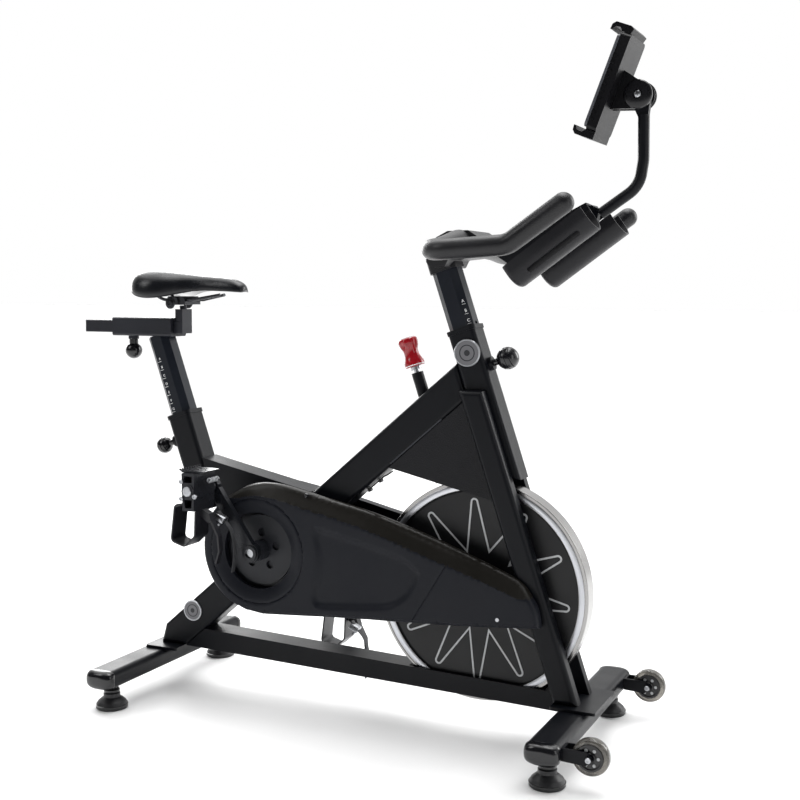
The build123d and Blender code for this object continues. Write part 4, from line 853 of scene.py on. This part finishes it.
# ------------------------------------------------------------------ pedal fittings, strap and buckle
for tag, s_, px, pz in (("right", -1, 194.9, 488.9), ("left", 1, 385.1, 207.1)):
    body = "pedal_%s_unit" % tag
    lathe("pedal_nut_" + tag, [(0, 2.6), (5.0, 2.6), (5.4, 3.4), (9.4, 3.2), (10.4, 2.2), (10.4, -2), (0, -2)], W(px, s_ * 202.2, pz), (0, s_, 0), "steel", body, seg=36)
    for k in range(9):
        yy = 126 + 9.0 * k
        lathe("pedal_stud_%s_%d" % (tag, k), [(0, 3.6), (1.3, 3.4), (1.8, 2.4), (1.8, -1), (0, -1)], W(px - 20, s_ * yy, pz + 44.0), (0, 0, 1), "darksteel", body, seg=10)
    coil = []
    for i in range(97):
        a = i / 96.0 * 6 * 2 * math.pi
        coil.append(W(px + 34 + 4.6 * math.cos(a), s_ * (140 + 34.0 * i / 96.0), pz + 22 + 4.6 * math.sin(a)))
    tube("pedal_spring_" + tag, coil, 1.2, "steel", body, seg=8)
    for dx, dz in ((-26, 20), (-26, -16), (30, -10)):
        lathe("pedal_bolt_%s_%d_%d" % (tag, dx + 30, dz + 20), [(0, 1.2), (2.0, 1.2), (2.2, 2.4), (4.4, 2.4), (5.0, 1.6), (5.0, -1), (0, -1)], W(px + dx * 0.6, s_ * 202.0, pz + dz), (0, s_, 0), "steel", body, seg=24)
    # strap: round the cage, through the buckle, with a loose tail
    def ribbon(name, path, y0, y1, th, mat):
        rings = []
        for i, q in enumerate(path):
            a = path[max(i - 1, 0)]
            b = path[min(i + 1, len(path) - 1)]
            t = Vector((b[0] - a[0], 0, b[1] - a[1])).normalized()
            nn = Vector((-t.z, 0, t.x))
            c0, c1 = W(q[0], s_ * y0, q[1]), W(q[0], s_ * y1, q[1])
            h = nn * (th / 2000.0)
            rings.append([c0 - h, c1 - h, c1 + h, c0 + h])
        return loft(name, rings, mat, body, angle=30)
    pts = [Vector((px + ax, 0, pz + az)) for ax, az in ((30, -50), (46, -70), (60, -86), (68, -108), (71, -132), (69, -156), (65, -180))]
    sm = smooth_path(pts, per=5)
    ribbon("strap_tail_" + tag, [(p.x, p.z) for p in sm], 124, 136, 1.6, "strap")
    plate("strap_buckle_" + tag, [[(px + 24, pz - 66), (px + 44, pz - 76), (px + 50, pz - 64), (px + 30, pz - 54)]], s_ * 121, s_ * 139, "steel", body, bevel=1.0)
    tube("strap_roller_" + tag, [W(px + 36, s_ * 120, pz - 78), W(px + 36, s_ * 140, pz - 78)], 2.6, "steel", body, seg=16)

# ------------------------------------------------------------------ tablet holder fittings
for s_ in (-1, 1):
    tag = "right" if s_ < 0 else "left"
    lathe("tilt_boss_" + tag, [(0, 1.5), (8, 1.5), (9, 3.4), (20, 3.2), (25.6, 1.8), (27.5, -0.5), (27.5, -4), (10.2, -4), (10.2, -2), (0, -2)], W(1090, s_ * 20.0, 1280), (0, s_, 0), "cap", "holder_unit", seg=64)
    lathe("tilt_screw_" + tag, [(0, 2.6), (5.0, 2.4), (6.4, 1.4), (6.8, 0), (6.8, -2), (0, -2)], W(1090, s_ * 21.6, 1280), (0, s_, 0), "steel", "holder_unit", seg=36)
    # painted shade: a dark cross sheet on each domed screw head stands in for the shaded cross recess
    for rr in (0.0, 90.0):
        a = math.radians(rr + 20)
        d = Vector((math.cos(a), 0, math.sin(a)))
        e = Vector((-math.sin(a), 0, math.cos(a)))
        c = W(1090, s_ * 24.3, 1280)
        q = [c + d * u * 0.0040 + e * v * 0.0006 + YD * (s_ * w) for w in (-0.0004, 0.0001) for u, v in ((-1, -1), (1, -1), (1, 1), (-1, 1))]
        obj("tilt_cross_%s_%d" % (tag, rr), q, [(0, 1, 5, 4), (1, 2, 6, 5), (2, 3, 7, 6), (3, 0, 4, 7), (4, 5, 6, 7), (3, 2, 1, 0)], "dark_print_and_painted_shade", "holder_unit", smooth=False)
HN = Vector((-0.934, 0, 0.358))
HU2 = Vector((0.358, 0, 0.934))
for s_ in (-1, 1):
    for k in range(10):
        c = W(1003, s_ * 54.6, 1208) + HU2 * (0.028 + 0.0135 * k) + HN * 0.002
        q = [c + HU2 * u * 0.0018 + HN * v * 0.0035 + YD * (s_ * w) for w in (-0.001, 0.0012) for u, v in ((-1, -1), (1, -1), (1, 1), (-1, 1))]
        obj("holder_ratchet_%s_%d" % ("right" if s_ < 0 else "left", k), q, [(0, 1, 5, 4), (1, 2, 6, 5), (2, 3, 7, 6), (3, 0, 4, 7), (4, 5, 6, 7), (3, 2, 1, 0)], "pad", "holder_unit", smooth=False)

# ------------------------------------------------------------------ glossy collars on the feet and wheel bolts
for nm, fx, fy in (("foot_rear_right", 0, -215), ("foot_rear_left", 0, 215), ("foot_front_right", 996.9, -218), ("foot_front_left", 996.9, 218)):
    lathe(nm + "_collar", [(9.0, 0), (17, 0), (17.6, 1), (17.6, 5), (16, 7), (9.0, 7)], W(fx, fy, 36), (0, 0, 1), "foot_cap", nm + "_unit", seg=48)
    lathe(nm + "_rib", [(33.0, 0), (34.9, 0.6), (34.9, 3.4), (33.0, 4.0)], W(fx, fy, 5.5), (0, 0, 1), "foot_cap", nm + "_unit", seg=64)
for tag, s_ in (("right", -1), ("left", 1)):
    for t in (-1, 1):
        lathe("wheel_bolt_%s_%s" % (tag, "in" if t != s_ else "out"), [(0, 2.0), (2.0, 2.0), (2.2, 3.4), (4.8, 3.2), (5.4, 2.4), (5.4, 0), (0, 0)], W(1081.2, s_ * 223.2 + t * 21.4, 71.1), (0, t, 0), "steel", "frame", seg=30)

# ------------------------------------------------------------------ camera, light and floor
def camera():
    f_px, az, el, roll = 1224.22, 0.432627, 0.0882369, 0.00399992
    C = Vector((1.66685 - XC, -2.32509, 0.909277))
    fw = Vector((-math.sin(az) * math.cos(el), math.cos(az) * math.cos(el), -math.sin(el)))
    rt = Vector((math.cos(az), math.sin(az), 0))
    up = rt.cross(fw)
    r2 = rt * math.cos(roll) + up * math.sin(roll)
    u2 = -rt * math.sin(roll) + up * math.cos(roll)
    cam = bpy.data.cameras.new("camera")
    cam.lens = f_px / 800.0 * 36.0
    cam.sensor_width = 36.0
    cam.sensor_fit = "HORIZONTAL"
    cam.clip_start = 0.05
    o = bpy.data.objects.new("camera", cam)
    bpy.context.scene.collection.objects.link(o)
    m = Matrix((r2, u2, -fw)).transposed().to_4x4()
    m.translation = C
    o.matrix_world = m
    bpy.context.scene.camera = o


camera()


def area(name, loc, target, size, power, size_y=None, color=(1, 1, 1)):
    l = bpy.data.lights.new(name, "AREA")
    l.energy = power
    l.shape = "RECTANGLE"
    l.size = size
    l.size_y = size_y or size
    l.color = color
    o = bpy.data.objects.new(name, l)
    bpy.context.scene.collection.objects.link(o)
    o.location = loc
    d = Vector(target) - Vector(loc)
    o.rotation_euler = d.to_track_quat("-Z", "Y").to_euler()
    o.visible_camera = False
    return o


area("key", (-2.4, -2.2, 2.9), (0, 0, 0.7), 1.2, 26, 1.6)
area("side", (3.4, -1.2, 1.5), (0.1, 0, 0.7), 1.0, 16, 2.2)
area("top", (0.2, 0.2, 3.6), (0, 0, 0.4), 2.6, 60, 1.6)
area("back_left", (-2.6, 2.4, 1.8), (0, 0, 0.6), 1.6, 70, 2.2)
area("back_right", (2.8, 2.6, 1.9), (0, 0, 0.6), 1.6, 60, 2.2)

sun = bpy.data.lights.new("overhead", "SUN")
sun.energy = 2.1
sun.angle = math.radians(75)
so = bpy.data.objects.new("overhead", sun)
bpy.context.scene.collection.objects.link(so)
so.rotation_euler = (math.radians(-12), math.radians(-8), 0)

# studio tent: white above and behind, dark on the near side
world = bpy.data.worlds.new("studio")
world.use_nodes = True
wt = world.node_tree
wb = wt.nodes["Background"]
wc = wt.nodes.new("ShaderNodeTexCoord")
wx = wt.nodes.new("ShaderNodeSeparateXYZ")
wt.links.new(wc.outputs["Generated"], wx.inputs[0])
wm = wt.nodes.new("ShaderNodeMapRange")
wm.interpolation_type = "SMOOTHSTEP"
wm.inputs["From Min"].default_value = -0.25
wm.inputs["From Max"].default_value = 0.45
wm.inputs["To Min"].default_value = 0.07
wm.inputs["To Max"].default_value = 1.0
wt.links.new(wx.outputs["Y"], wm.inputs["Value"])
wt.links.new(wm.outputs["Result"], wb.inputs["Strength"])
wb.inputs["Color"].default_value = (1, 1, 1, 1)
bpy.context.scene.world = world

fv = [(-60, -60, 0), (60, -60, 0), (60, 60, 0), (-60, 60, 0)]
fm = bpy.data.meshes.new("floor")
fm.from_pydata(fv, [], [(0, 1, 2, 3)])
fm.materials.append(M["floor"])
fo = bpy.data.objects.new("floor", fm)
bpy.context.scene.collection.objects.link(fo)

bpy.context.scene.view_settings.view_transform = "Standard"
